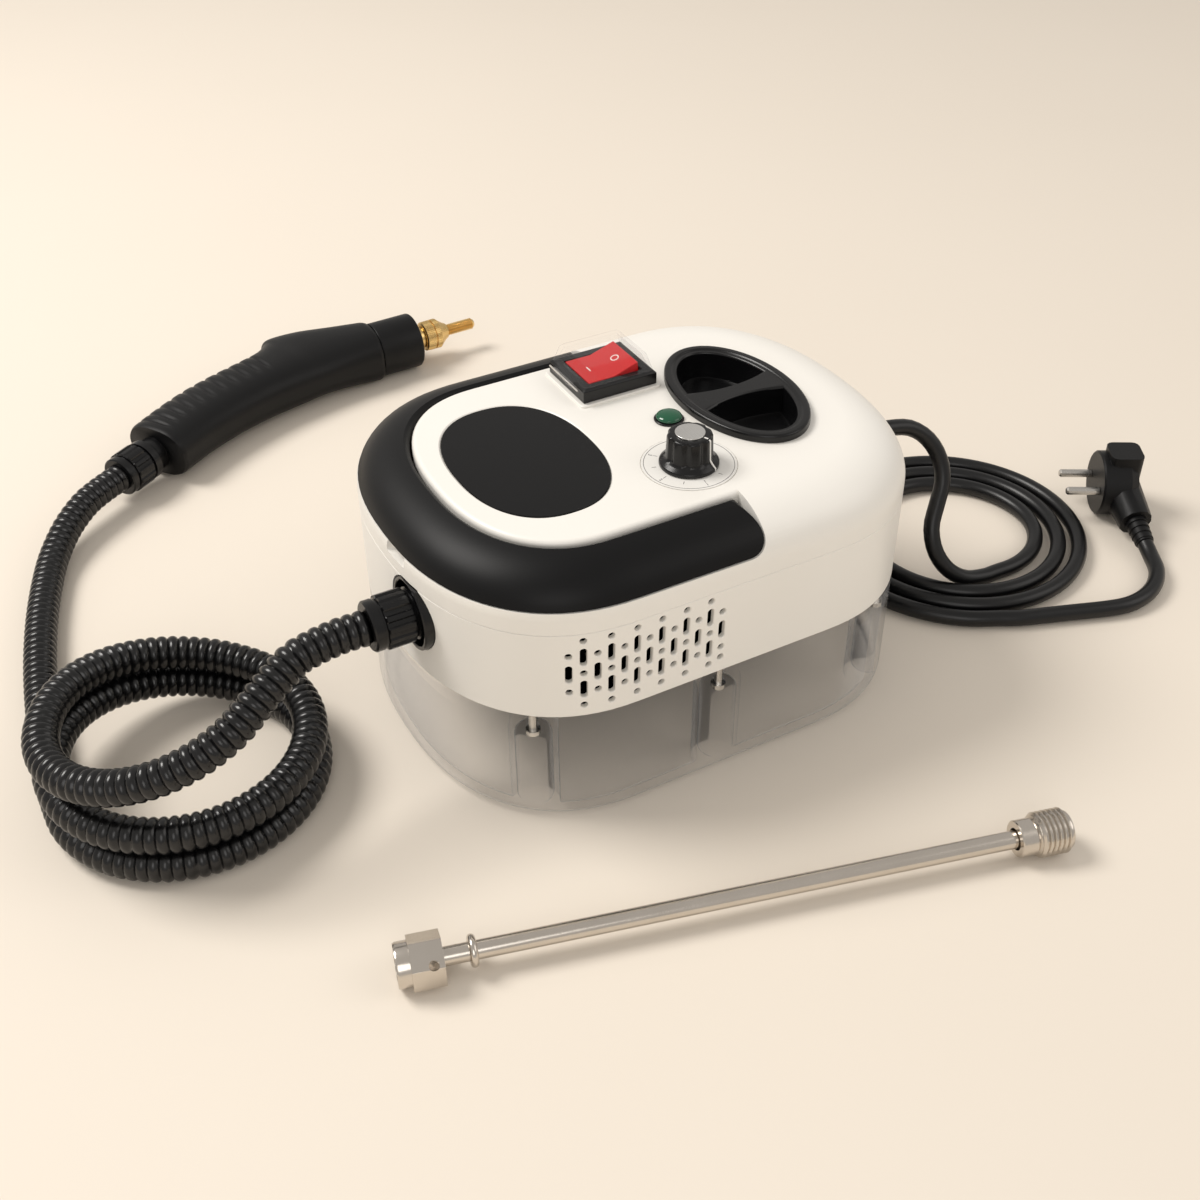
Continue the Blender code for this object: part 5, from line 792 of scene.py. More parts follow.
lead_end_deg = LEAD_LEAVING_DEG + 360 * LEAD_TURNS
spiral = [lead_point(LEAD_LANDING_DEG + (lead_end_deg - LEAD_LANDING_DEG) * k / SPIRAL_STEPS)
          for k in range(SPIRAL_STEPS + 1)]
arriving = (spiral[1] - spiral[0]).normalized()
departing = (spiral[-1] - spiral[-2]).normalized()
lead_top = LEAD_START + Vector((LEAD_RADIUS, 0, 0))
landing = spiral[0] - arriving * 2 * LEAD_RADIUS
lead_route = [LEAD_START] + double_bend(lead_top, landing, arriving, 5) + spiral
lead_foot = spiral[-1] + departing * 2 * LEAD_RADIUS
lead_leg = LEAD_END + PLUG_ARM * 2 * LEAD_RADIUS
lead_bend = bend_run(lead_leg, -PLUG_ARM, LEAD_BEND_RADIUS, LEAD_BEND_DEG, (0, 0.2, 0.4, 0.6, 0.8),
                     LEAD_RADIUS + FLOOR_LIFT)
lead_route += [lead_foot, (lead_foot + lead_bend[0]) / 2] + lead_bend + [lead_leg, LEAD_END]
lead_points = spaced(smooth_curve(lead_route, 8), LEAD_RADIUS)

lead_curve = bpy.data.curves.new("mains_lead", "CURVE")
lead_curve.dimensions = "3D"
lead_curve.bevel_depth = LEAD_RADIUS
lead_curve.bevel_resolution = 6
lead_curve.use_fill_caps = True
lead_curve.materials.append(lead_black)
spline = lead_curve.splines.new("POLY")
spline.points.add(len(lead_points) - 1)
for slot, point in zip(spline.points, lead_points):
    slot.co = (*point, 1)
spline.use_smooth = True
mains_lead = linked("mains_lead", lead_curve)
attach(mains_lead, "root")
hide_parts("lead_drop", "lead_coil", "lead_tail")
print("lead is", round(path_length(lead_points), 3), "m long")

# %% [markdown]
# ## The housing's outline
#
# Every shell of the housing follows one plan: straight long sides joined by corners that are squarer than a
# circle. A superellipse gives them, and drawing the plan in by an inset gives walls, steps and recesses.

# %% The plan
band_low, band_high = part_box("housing_band")
shell_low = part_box("upper_shell")[0]
tank_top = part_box("water_tank")[1].z
HALF_LENGTH = band_high.x
HALF_WIDTH = band_high.y
END_REACH = 80 * MM
CORNER_POWER = 2.35
CORNER_STEPS = 22
DECK_Z = 139 * MM
SHELL_WALL = 2.5 * MM


def plan(inset, z):
    reach = END_REACH - inset
    quarter = []
    for k in range(CORNER_STEPS + 1):
        turn = math.pi / 2 * k / CORNER_STEPS
        across = max(math.cos(turn), 0.0) ** (2 / CORNER_POWER)
        along = math.sin(turn) ** (2 / CORNER_POWER)
        quarter.append((HALF_LENGTH - END_REACH + reach * across, (HALF_WIDTH - inset) * along))
    ring = quarter + [(-x, y) for x, y in reversed(quarter)]
    ring += [(-x, -y) for x, y in quarter[1:]] + [(x, -y) for x, y in reversed(quarter[1:])]
    return [Vector((x, y, z)) for x, y in ring]


def oval(centre, half_x, half_y, z, power=2.0, count=72):
    """A superellipse ring; a power of 2 gives a plain ellipse."""
    ring = []
    for k in range(count):
        turn = 2 * math.pi * (k + 0.5) / count
        x, y = math.cos(turn), math.sin(turn)
        ring.append(Vector((centre[0] + half_x * math.copysign(abs(x) ** (2 / power), x),
                            centre[1] + half_y * math.copysign(abs(y) ** (2 / power), y), z)))
    return ring


def pad(centre, half_x, half_y, z, corner, steps=6):
    """A rectangle with round corners at height z."""
    ring = []
    for quarter, (sx, sy) in enumerate(((1, 1), (-1, 1), (-1, -1), (1, -1))):
        for k in range(steps + 1):
            turn = math.pi / 2 * (quarter + k / steps)
            ring.append(Vector((centre[0] + sx * (half_x - corner) + corner * math.cos(turn),
                                centre[1] + sy * (half_y - corner) + corner * math.sin(turn), z)))
    return ring


print("housing plan has", len(plan(0, 0)), "points")

# %% [markdown]
# ## The water tank
#
# The tank is one clear moulding: an outer skin with a rounded foot, an inner skin a wall's thickness inside
# it, and six flutes up its sides in which the long screws stand. The skins are drawn section by section and
# the flutes are cut by upright round tools with soft ends, each inside a post that is joined on first.

# %% Tank
TANK_WALL = 2.8 * MM
TANK_FLOOR = 3.2 * MM
TANK_FOOT_INSET = 5.5 * MM
TANK_FOOT_RISE = 7 * MM
TANK_FLANGE_INSET = 11 * MM
TANK_FLANGE = 3 * MM
GROOVE_RADIUS = 8.8 * MM
GROOVE_FOOT_Z = 9 * MM
SCREW_SEAT_Z = 51.4 * MM
SCREW_BORE = 2.3 * MM
TANK_RIM_ROUND = 0.6 * MM
POST_BITE = 0.6 * MM


def screw_places():
    """Middles of the six screws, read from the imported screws."""
    places = []
    for k in range(6):
        low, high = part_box(f"tank_screw_{k + 1}")
        places.append((low + high) / 2)
    return places


inner_rings = [TANK_FOOT_INSET + reach * MM for reach in (9, 22, 40, 60)]
tank_rings = [plan(inset, 0) for inset in reversed(inner_rings)] + [plan(TANK_FOOT_INSET, 0)]
for inward, up in quarter_turn(8):
    tank_rings.append(plan(TANK_FOOT_INSET * (1 - up), TANK_FOOT_RISE * inward))
tank_rings += [plan(0, tank_top - TANK_RIM_ROUND), plan(TANK_RIM_ROUND, tank_top),
               plan(TANK_FLANGE_INSET, tank_top), plan(TANK_FLANGE_INSET, tank_top - TANK_FLANGE),
               plan(TANK_WALL, tank_top - TANK_FLANGE - TANK_FLANGE_INSET + TANK_WALL),
               plan(TANK_WALL, TANK_FOOT_RISE + TANK_FLOOR)]
for inward, up in quarter_turn(6):
    tank_rings.append(plan(TANK_WALL + TANK_FOOT_INSET * inward, TANK_FLOOR + TANK_FOOT_RISE * (1 - up)))
tank_rings += [plan(TANK_WALL + inset, TANK_FLOOR) for inset in inner_rings]
tank = piece("tank_moulding", drawn(tank_rings), clear_tank, "root", ("water_tank",))
post_radius = GROOVE_RADIUS + TANK_WALL
for place in screw_places():
    post = piece("post", rod(post_radius, TANK_FLOOR - POST_BITE, tank_top, 40, upright(place)),
                 clear_tank, "root")
    inside = drawn([plan(TANK_WALL / 2, -OVERRUN), plan(TANK_WALL / 2, tank_top - TANK_WALL / 2)])
    cut(post, inside, "INTERSECT")
    cut(tank, taken(post), "UNION")
for place in screw_places():
    groove = eased([(0.1 * MM, GROOVE_FOOT_Z), (GROOVE_RADIUS, GROOVE_FOOT_Z), (GROOVE_RADIUS, SCREW_SEAT_Z),
                    (SCREW_BORE, SCREW_SEAT_Z), (SCREW_BORE, tank_top + OVERRUN)], 4 * MM, 6)
    cut(tank, spun(groove, 40, upright(place)))
tank.data.shade_smooth()
for face in tank.data.polygons:
    if abs(face.normal.z) > 0.999:
        face.use_smooth = False
tank.data.set_sharp_from_angle(angle=math.radians(40))
print("tank faces:", len(tank.data.polygons))

# %% [markdown]
# ## The housing band and its vents
#
# The white band is a plain wall on the same plan. Its vents are a pattern of short slots and dots in
# columns, low and tall in turn, cut square to the wall.

# %% Band
VENT_COLUMNS = 13
VENT_PITCH = 6.25 * MM
VENT_FIRST_X = -84 * MM
VENT_WIDTH = 3.3 * MM
VENT_SLOT_LENGTH = 9.6 * MM
VENT_TALL_STEP = 9.1 * MM
VENT_SHORT_STEP = 10.2 * MM
VENT_LAST_STEP = 6 * MM
VENT_MIDDLE_Z = 87.8 * MM
VENT_FLARE = 0.35 * MM
VENT_DEPTH = 6 * MM
PORT_PLACE = Vector((-129.6, -25, 93)) * MM
PORT_RADIUS = 18 * MM
GLAND_Z = 90 * MM
GLAND_BORE = 6.2 * MM
port_frame = aim(PORT_PLACE, (-1, 0, 0))
gland_frame = aim((HALF_LENGTH, 0, GLAND_Z), (1, 0, 0))


def front_y(x):
    over = max(abs(x) - (HALF_LENGTH - END_REACH), 0.0) / END_REACH
    return -HALF_WIDTH * (1 - over ** CORNER_POWER) ** (1 / CORNER_POWER)


def vent_tool(x, z, half_length, growth, depth):
    """A slot or a dot as an upright round-ended prism through the wall, with its outer mouth flared."""
    half = VENT_WIDTH / 2
    slope = math.atan2(front_y(x + half) - front_y(x - half), 2 * half)
    turn = Matrix.Translation((x, front_y(x), z)) @ Matrix.Rotation(slope, 4, "Z")
    rows = []
    for out, swell in ((-OVERRUN, growth), (-0.02 * MM, growth), (0.45 * MM, 0.0), (depth, 0.0)):
        ring = []
        for end, first in ((half_length - half, 0.0), (half - half_length, math.pi)):
            for k in range(9):
                angle = first + math.pi * k / 9
                x_out = (half + swell) * math.cos(angle)
                ring.append(turn @ Vector((x_out, out, end + (half + swell) * math.sin(angle))))
        rows.append(ring)
    return drawn(rows)


band_rings = [plan(0.3 * MM, band_low.z), plan(0, band_low.z + 0.3 * MM), plan(0, band_high.z - 0.4 * MM),
              plan(0.4 * MM, band_high.z), plan(SHELL_WALL, band_high.z), plan(SHELL_WALL, band_low.z)]
band = piece("band_moulding", drawn(band_rings, closed=True), white_shell, "root",
             ("housing_band",))
vents = bmesh.new()
for column in range(VENT_COLUMNS):
    tall = column % 2
    step = VENT_TALL_STEP if tall else VENT_SHORT_STEP
    x = VENT_FIRST_X + column * VENT_PITCH
    rows = (-2, -1, 0, 1, 2) if tall else (-1, 0, 1)
    places = [(row * step, (row % 2 == 1) if tall else (row == 0)) for row in rows]
    if column == VENT_COLUMNS - 1:
        places.append((-VENT_SHORT_STEP - VENT_LAST_STEP, False))
    for height, slot in places:
        half_length = (VENT_SLOT_LENGTH if slot else VENT_WIDTH) / 2
        one = vent_tool(x, VENT_MIDDLE_Z + height, half_length, VENT_FLARE, VENT_DEPTH)
        part = bpy.data.meshes.new("vent")
        one.to_mesh(part)
        one.free()
        vents.from_mesh(part)
        bpy.data.meshes.remove(part)
cut(band, vents)
cut(band, rod(PORT_RADIUS + GAP, -12 * MM, 12 * MM, 64, port_frame))
cut(band, rod(GLAND_BORE, -10 * MM, 10 * MM, 40, gland_frame))
crisp(band)
print("band faces:", len(band.data.polygons))

# %% [markdown]
# ## The upper shell
#
# The shell rises from its foot through an elliptical shoulder to a flat deck. Round the hose end a step is
# cut out of the shoulder for the handle. The step's tool is a slab seen from the side, less a core that
# flares at its top, so that the deck rolls softly over the edge. Recesses and holes for the pieces of the
# deck follow.

# %% Shell form
SHOULDER_INSET = 30 * MM
SHOULDER_FOOT_Z = 117 * MM
SHOULDER_STEPS = 14
HANDLE_FLOOR_Z = 121.4 * MM
HANDLE_PIVOT_X = 5.5 * MM
HANDLE_PIVOT_Z = 130.2 * MM
HANDLE_END_RADIUS = 8.3 * MM
STEP_END_RADIUS = 9.1 * MM
CORE_INSET = 27.1 * MM
EDGE_ROUND = 2.6 * MM


def dome(shrink, foot):
    rings = [plan(shrink, foot), plan(shrink, SHOULDER_FOOT_Z)]
    for inward, up in quarter_turn(SHOULDER_STEPS):
        rings.append(plan(shrink + (SHOULDER_INSET - shrink) * inward,
                          SHOULDER_FOOT_Z + (DECK_Z - shrink - SHOULDER_FOOT_Z) * up))
    return rings


def side_slab(radius, low, high, half_y, round_corners):
    """A slab seen from the side, from beyond the hose end to an end about the handle's pivot."""
    far = -HALF_LENGTH - 4 * OVERRUN
    outline = [(far, low)]
    start = -math.pi / 2
    for k in range(25):
        turn = start + math.pi * k / 24
        x, z = radius * math.cos(turn), radius * math.sin(turn)
        if not round_corners and turn > 0:
            break
        outline.append((HANDLE_PIVOT_X + x, HANDLE_PIVOT_Z + z))
    if not round_corners:
        outline.append((HANDLE_PIVOT_X + radius, high))
    outline.append((far, high))
    return drawn([[Vector((x, y, z)) for x, z in outline] for y in (-half_y, half_y)])


def rolled_core(inset, low, top, radius, sign):
    """A plan prism whose top edge rolls inwards, or outwards where sign is -1."""
    rings = [plan(inset, low), plan(inset, top - radius)]
    for inward, up in quarter_turn(6):
        rings.append(plan(inset + sign * radius * inward, top - radius + radius * up))
    return drawn(rings)


shell = piece("shell_moulding", drawn(dome(0, shell_low.z)), white_shell, "root",
              ("upper_shell",))
step_slab = side_slab(STEP_END_RADIUS, HANDLE_FLOOR_Z, DECK_Z + OVERRUN, HALF_WIDTH + OVERRUN, False)
step = piece("step", step_slab, white_shell, "root")
cut(step, rolled_core(CORE_INSET, HANDLE_FLOOR_Z - OVERRUN, DECK_Z + 0.02 * MM, EDGE_ROUND, 1))
cut(shell, taken(step))
print("shell with its step:", len(shell.data.polygons), "faces")

# %% [markdown]
# The shell is open below. It is hollowed in two depths, one under the handle's step and one under the deck,
# so that its wall stays even, and then every piece of the deck gets its seat.

# %% Shell hollows, holes and recesses
CAP_X = 59 * MM
CAP_HALF = Vector((29.5, 48)) * MM
NECK_HALF = Vector((26.7, 45.2)) * MM
SWITCH = Vector((9.5, 45.5)) * MM
KNOB = Vector((7, -41)) * MM
LAMP = Vector((19, -3)) * MM
PANEL_X = -57 * MM
PANEL_HALF = Vector((34.5, 49)) * MM
PANEL_POWER = 2.3
DIAL_RADIUS = 22.3 * MM
SHELL_END_WALL_X = 14.6 * MM
SWITCH_PAD_ROWS = [(22.5, 20, -1.2, 2), (22.5, 20, 0.8, 2), (22.1, 19.6, 1.2, 1.8)]
SWITCH_HOLE_HALF = (17.4 * MM, 15.1 * MM)
LAMP_HOLE = 6.5 * MM
SPINDLE_HOLE = 3.3 * MM
PIN_HOLE = 2.6 * MM
HANDLE_PIVOT = (HANDLE_PIVOT_X, 0, HANDLE_PIVOT_Z)
NOTCH_PLACE = (-132 * MM, -14 * MM)
NOTCH_RADIUS = 9 * MM
notch_low = HANDLE_FLOOR_Z - 5.2 * MM
under_deck = DECK_Z - 2 * OVERRUN
over_deck = DECK_Z + OVERRUN


def cap_oval(half, growth, z):
    """An oval about the filler's middle, grown from its half sizes."""
    return oval((CAP_X, 0), half.x + growth, half.y + growth, z)


def panel_oval(growth, z):
    """The panel's outline, grown or shrunk."""
    return oval((PANEL_X, 0), PANEL_HALF.x + growth, PANEL_HALF.y + growth, z, PANEL_POWER, 96)


def plan_prism(inset, low, high):
    """An upright block on the housing's plan."""
    return drawn([plan(inset, low), plan(inset, high)])


cut(shell, plan_prism(SHELL_WALL + GAP, shell_low.z - OVERRUN, notch_low - SHELL_WALL))
cut(shell, plan_prism(CORE_INSET + SHELL_WALL, shell_low.z - 2 * OVERRUN, DECK_Z - SHELL_WALL))
end_hollow = drawn(dome(SHELL_WALL, shell_low.z - 2 * OVERRUN))
bmesh.ops.bisect_plane(end_hollow, geom=end_hollow.verts[:] + end_hollow.edges[:] + end_hollow.faces[:],
                       plane_co=(SHELL_END_WALL_X + SHELL_WALL, 0, 0), plane_no=(-1, 0, 0), clear_outer=True)
bmesh.ops.holes_fill(end_hollow, edges=[e for e in end_hollow.edges if e.is_boundary], sides=0)
bmesh.ops.recalc_face_normals(end_hollow, faces=end_hollow.faces)
cut(shell, end_hollow)
pad_rings = [pad(SWITCH, half_x * MM, half_y * MM, DECK_Z + up * MM, corner * MM)
             for half_x, half_y, up, corner in SWITCH_PAD_ROWS]
cut(shell, drawn(pad_rings), "UNION")
cut(shell, drawn([cap_oval(NECK_HALF, 0.4 * MM, z) for z in (DECK_Z - 4 * OVERRUN, over_deck)]))
cut(shell, drawn([pad(SWITCH, *SWITCH_HOLE_HALF, z, 0.5 * MM, 2) for z in (under_deck, over_deck)]))
cut(shell, rod(LAMP_HOLE, under_deck, over_deck, 48, upright(LAMP)))
cut(shell, drawn([panel_oval(GAP, DECK_Z - 0.9 * MM), panel_oval(GAP, DECK_Z - 0.5 * MM),
                  panel_oval(1.1 * MM, DECK_Z + 0.1 * MM)]))
cut(shell, rod(DIAL_RADIUS + GAP, DECK_Z - 0.5 * MM, over_deck, 96, upright(KNOB)))
cut(shell, rod(SPINDLE_HOLE, under_deck, over_deck, 32, upright(KNOB)))
cut(shell, rod(PIN_HOLE, -HALF_WIDTH, HALF_WIDTH, 24, aim(HANDLE_PIVOT, (0, 1, 0))))
notch = eased([(0.1 * MM, notch_low), (NOTCH_RADIUS, notch_low), (NOTCH_RADIUS, HANDLE_FLOOR_Z + OVERRUN)],
              1.5 * MM, 4)
cut(shell, spun(notch, 40, upright(NOTCH_PLACE)))
crisp(shell, 30)
print("shell faces:", len(shell.data.polygons))

# %% [markdown]
# ## The handle
#
# The bail is the part of the shoulder that the step took away, made as a piece of its own: the same dome,
# limited by a slab with a round end about the pivot and hollowed by a core whose top edge rolls outwards,
# so that the grip is soft on its inner side too.

# %% Handle
HANDLE_INSET = 26 * MM
HANDLE_SHRINK = 0.15 * MM
HANDLE_ROLL = 4 * MM
HANDLE_HOLE_DEPTH = 11.3 * MM
handle_low = HANDLE_PIVOT_Z - HANDLE_END_RADIUS
handle_high = HANDLE_PIVOT_Z + HANDLE_END_RADIUS
inner_face = HALF_WIDTH - HANDLE_INSET

handle = piece("bail_handle", drawn(dome(HANDLE_SHRINK, shell_low.z)), black_handle, "handle",
               ("carry_handle",))
handle_slab = side_slab(HANDLE_END_RADIUS, handle_low, handle_high, HALF_WIDTH + OVERRUN, True)
cut(handle, handle_slab, "INTERSECT")
cut(handle, rolled_core(HANDLE_INSET, shell_low.z - OVERRUN, handle_high + 0.1 * MM, HANDLE_ROLL, -1))
for side in (-1, 1):
    cut(handle, rod(PIN_HOLE, inner_face - OVERRUN, inner_face + HANDLE_HOLE_DEPTH, 24,
                    aim(HANDLE_PIVOT, (0, side, 0))))
crisp(handle, 30, 0.7 * MM, 3)
print("handle faces:", len(handle.data.polygons))

# %% [markdown]
# ## The filler cap
#
# An oval cap with a rounded rim and a slightly sunk face. Two finger pockets leave a bar between them that
# is narrower at its waist. Each pocket's tool is the same lens-shaped outline, smaller at its floor.

# %% Cap
CAP_TOP = 143.2 * MM
CAP_PLUG = Vector((24.5, 43)) * MM
CAP_PLUG_LOW = 122 * MM
POCKET_FLOOR_Z = 128.2 * MM
POCKET_HALF = Vector((23, 41.5)) * MM
BAR_END = 8.5 * MM
BAR_WAIST = 4.5 * MM
POCKET_ROWS = [(3.2 * MM, POCKET_FLOOR_Z), (1.6 * MM, POCKET_FLOOR_Z + 0.6 * MM),
               (1.0 * MM, POCKET_FLOOR_Z + 2.5 * MM), (0.5 * MM, 141.4 * MM), (0.1 * MM, 142.1 * MM),
               (-0.6 * MM, 142.6 * MM), (-0.6 * MM, CAP_TOP + OVERRUN)]


def pocket_ring(side, shrink, z):
    """The pocket's outline: an arc of the oval and a bar edge that bows towards the middle."""
    half_x, half_y = POCKET_HALF.x - shrink, POCKET_HALF.y - shrink
    lean = math.asin((BAR_END + shrink) / half_y)
    ring = []
    for k in range(33):
        turn = lean + (math.pi - 2 * lean) * k / 32
        ring.append((half_x * math.cos(turn), half_y * math.sin(turn)))
    reach = ring[0][0]
    for k in range(1, 16):
        share = -1 + 2 * k / 16
        ring.append((reach * share, BAR_END + shrink - (BAR_END - BAR_WAIST) * (1 - share ** 2)))
    return [Vector((CAP_X + x, side * y, z)) for x, y in ring]


cap_rings = [cap_oval(CAP_PLUG, 0, CAP_PLUG_LOW), cap_oval(CAP_PLUG, 0, DECK_Z + GAP),
             cap_oval(CAP_HALF, 0, DECK_Z + GAP)]
for inset, z in eased([(0, 139.3), (0, 143.2), (3.8, 143.2), (4.6, 142.4), (12, 142.4)], 2.2, 6):
    cap_rings.append(cap_oval(CAP_HALF, -inset * MM, z * MM))
cap = piece("cap_moulding", drawn(cap_rings), black_gloss, "cap", ("filler_cap",))
for side in (-1, 1):
    cut(cap, drawn([pocket_ring(side, shrink, z) for shrink, z in POCKET_ROWS]))
crisp(cap, 30)
print("cap faces:", len(cap.data.polygons))

# %% [markdown]
# ## The switch
#
# The switch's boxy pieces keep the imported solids' shapes, with their edges bevelled. The rocker gets the
# plain line and ring that mark on and off. Its cover is a thin clear lid.

# %% Switch
softened("switch_bezel", "switch_frame", 0.7 * MM, black_gloss, "root", 3)
softened("rocker_lens", "switch_rocker", 0.7 * MM, red_rocker, "rocker", 3)
softened("clear_lid", "switch_cover", 0.25 * MM, clear_cover, "cover", 2)

ROCKER_PIVOT = Vector((9.5, 45.5, 144.5)) * MM
ROCKER_TILT = math.radians(9)
ROCKER_VALLEY_Z = 3 * MM
ROCKER_MARK_ALONG = 7.5 * MM
PRINT_LIFT = 0.03 * MM
PRINT_DEPTH = 0.05 * MM


def on_rocker(x_sign, along):
    """A frame on one face of the rocker, a distance along it from the valley."""
    height = ROCKER_VALLEY_Z + along * math.tan(ROCKER_TILT) + PRINT_LIFT
    local = Matrix.Translation((x_sign * along, 0, height)) @ Matrix.Rotation(-x_sign * ROCKER_TILT, 4, "Y")
    return Matrix.Translation(ROCKER_PIVOT) @ Matrix.Rotation(-ROCKER_TILT, 4, "Y") @ local


ring_mark = hoop(1.7 * MM, 2.2 * MM, 0, PRINT_DEPTH, 32, on_rocker(1, ROCKER_MARK_ALONG))
piece("rocker_off_mark", ring_mark, pointer_white, "rocker")
bar_mark = drawn([pad((0, 0), 0.3 * MM, 2.2 * MM, z, 0.2 * MM, 3) for z in (0, PRINT_DEPTH)])
bar_mark.transform(on_rocker(-1, ROCKER_MARK_ALONG))
piece("rocker_on_mark", bar_mark, pointer_white, "rocker")

# %% [markdown]
# ## The temperature knob and its dial
#
# The knob is spun-like, but its grip has eight soft flutes, so its sections are drawn with a radius that
# waves round the turn. A white pointer line runs down its side. The dial under it has a fine ring, ticks
# and plain numbers, which start as text and are made into thin meshes.

# %% Knob
KNOB_BASE = 139.5 * MM
KNOB_TOP = 155.5 * MM
POINTER_TURN = math.radians(-62)
POINTER_HALF_MM = 0.45
POINTER_DEPTH_MM = 0.5
KNOB_POINTS = 128
KNOB_FLUTES = 8
KNOB_BORE = 3.1 * MM


def knob_ring(radius, z, flute):
    ring = []
    for k in range(KNOB_POINTS):
        turn = 2 * math.pi * k / KNOB_POINTS
        dip = flute * max(0.0, math.cos(KNOB_FLUTES * (turn - POINTER_TURN) + math.pi)) ** 1.5
        ring.append(around(KNOB, radius - dip, turn, z))
    return ring


knob_rings = []
for radius, z in eased([(13.2, 0), (14, 0), (14, 1.6), (12.1, 3.2)], 0.6, 4):
    knob_rings.append(knob_ring(radius * MM, KNOB_BASE + z * MM, 0))
for radius, z, flute in ((11.4, 3.8, 0.5), (11, 5, 1.1), (10.8, 10, 1.1), (10.6, 14.6, 1.1),
                         (10.3, 15.4, 1.0), (9.6, 15.9, 0.5), (8.6, 16, 0), (7.6, 16, 0)):
    knob_rings.append(knob_ring(radius * MM, KNOB_BASE + z * MM, flute * MM))
knob = piece("knob_grip", drawn(knob_rings), black_gloss, "knob", ("temperature_knob",), 40)
cut(knob, rod(KNOB_BORE, KNOB_BASE - OVERRUN, KNOB_TOP - 3 * MM, 32, upright(KNOB)))
crisp(knob, 40)

disc_profile = eased([(0.05, 0.5), (6.4, 0.8), (7, 0.8), (7, 0.1)], 0.3, 3)
disc = spun(in_mm(reversed(disc_profile), KNOB_TOP), 64, upright(KNOB))
piece("knob_cap_disc", disc, knob_silver, "knob", ("knob_disc",))

pointer_path = [(7.4, 16.05), (9.2, 16.05), (10.75, 15.2), (11.15, 5.0), (12.4, 3.35), (14.1, 1.6), (14.1, 0.6)]
pointer_sections = []
out = Vector((math.cos(POINTER_TURN), math.sin(POINTER_TURN), 0))
across = Vector((-out.y, out.x, 0))
for radius, z in pointer_path:
    middle = Vector((KNOB.x, KNOB.y, KNOB_BASE)) + out * radius * MM + Vector((0, 0, z * MM))
    inward = (Vector((KNOB.x, KNOB.y, KNOB_BASE + 6 * MM)) - middle).normalized() * POINTER_DEPTH_MM * MM
    half = across * POINTER_HALF_MM * MM
    pointer_sections.append([middle - half, middle + half, middle + half + inward, middle - half + inward])
piece("knob_pointer", drawn(pointer_sections), pointer_white, "knob")

# %% [markdown]
# The ticks and figures are printed on the dial. Print could be a texture; thin raised marks stay sharp at any
# distance and can be moved one by one.

# %% Dial marks
DIAL_TOP = 139.2 * MM
MARK = 0.06 * MM
MARK_LOW = DIAL_TOP + 0.01 * MM
MARK_HIGH = DIAL_TOP + MARK
DIAL_SWEEP = math.radians(270)
TICKS = 9
TICK_RADIUS = 16.6 * MM
FIGURE_RADIUS = 19.2 * MM
FIGURE_SIZE = 2.6 * MM


def tick_turn(k):
    return POINTER_TURN - DIAL_SWEEP * k / (TICKS - 1)


piece("dial_ring", hoop(20.9 * MM, 21.15 * MM, MARK_LOW, MARK_HIGH, 128, upright(KNOB)),
      ink_grey, "root")
for k in range(TICKS):
    tick = drawn([pad((0, 0), 1.1 * MM, 0.13 * MM, z, 0.1 * MM, 2) for z in (MARK_LOW, MARK_HIGH)])
    tick_out = Matrix.Rotation(tick_turn(k), 4, "Z") @ Matrix.Translation((TICK_RADIUS, 0, 0))
    tick.transform(upright(KNOB) @ tick_out)
    piece(f"dial_tick_{k + 1}", tick, ink_grey, "root")


def dial_number(text, turn):
    """A small flat figure on the dial, upright to a reader at the knob's edge."""
    curve = bpy.data.curves.new("figure", "FONT")
    curve.body = text
    curve.size = FIGURE_SIZE
    curve.align_x = "CENTER"
    curve.align_y = "CENTER"
    curve.extrude = MARK / 2
    figure = linked("figure", curve)
    bpy.context.view_layer.update()
    mesh = bpy.data.meshes.new_from_object(figure.evaluated_get(bpy.context.evaluated_depsgraph_get()))
    bpy.data.objects.remove(figure)
    bm = bmesh.new()
    bm.from_mesh(mesh)
    bpy.data.meshes.remove(mesh)
    bmesh.ops.remove_doubles(bm, verts=bm.verts, dist=1e-7)
    spot = around(KNOB, FIGURE_RADIUS, turn, MARK_LOW + MARK / 2)
    bm.transform(Matrix.Translation(spot) @ Matrix.Rotation(turn + math.pi / 2, 4, "Z"))
    return bm


for k in range(1, TICKS, 2):
    figure = dial_number(str((k + 1) // 2), tick_turn(k))
    piece(f"dial_figure_{k}", figure, ink_grey, "root")
print("dial has", TICKS, "ticks")

# %% [markdown]
# ## The lamp and the bare panel
#
# The lamp is a green dome in a thin black bezel, both spun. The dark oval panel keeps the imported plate's
# outline, drawn finely, and stays bare.

# %% Lamp and panel
LENS_RADIUS_MM = 6.35
LENS_FOOT_MM = 140.8
LENS_RISE_MM = 2.2

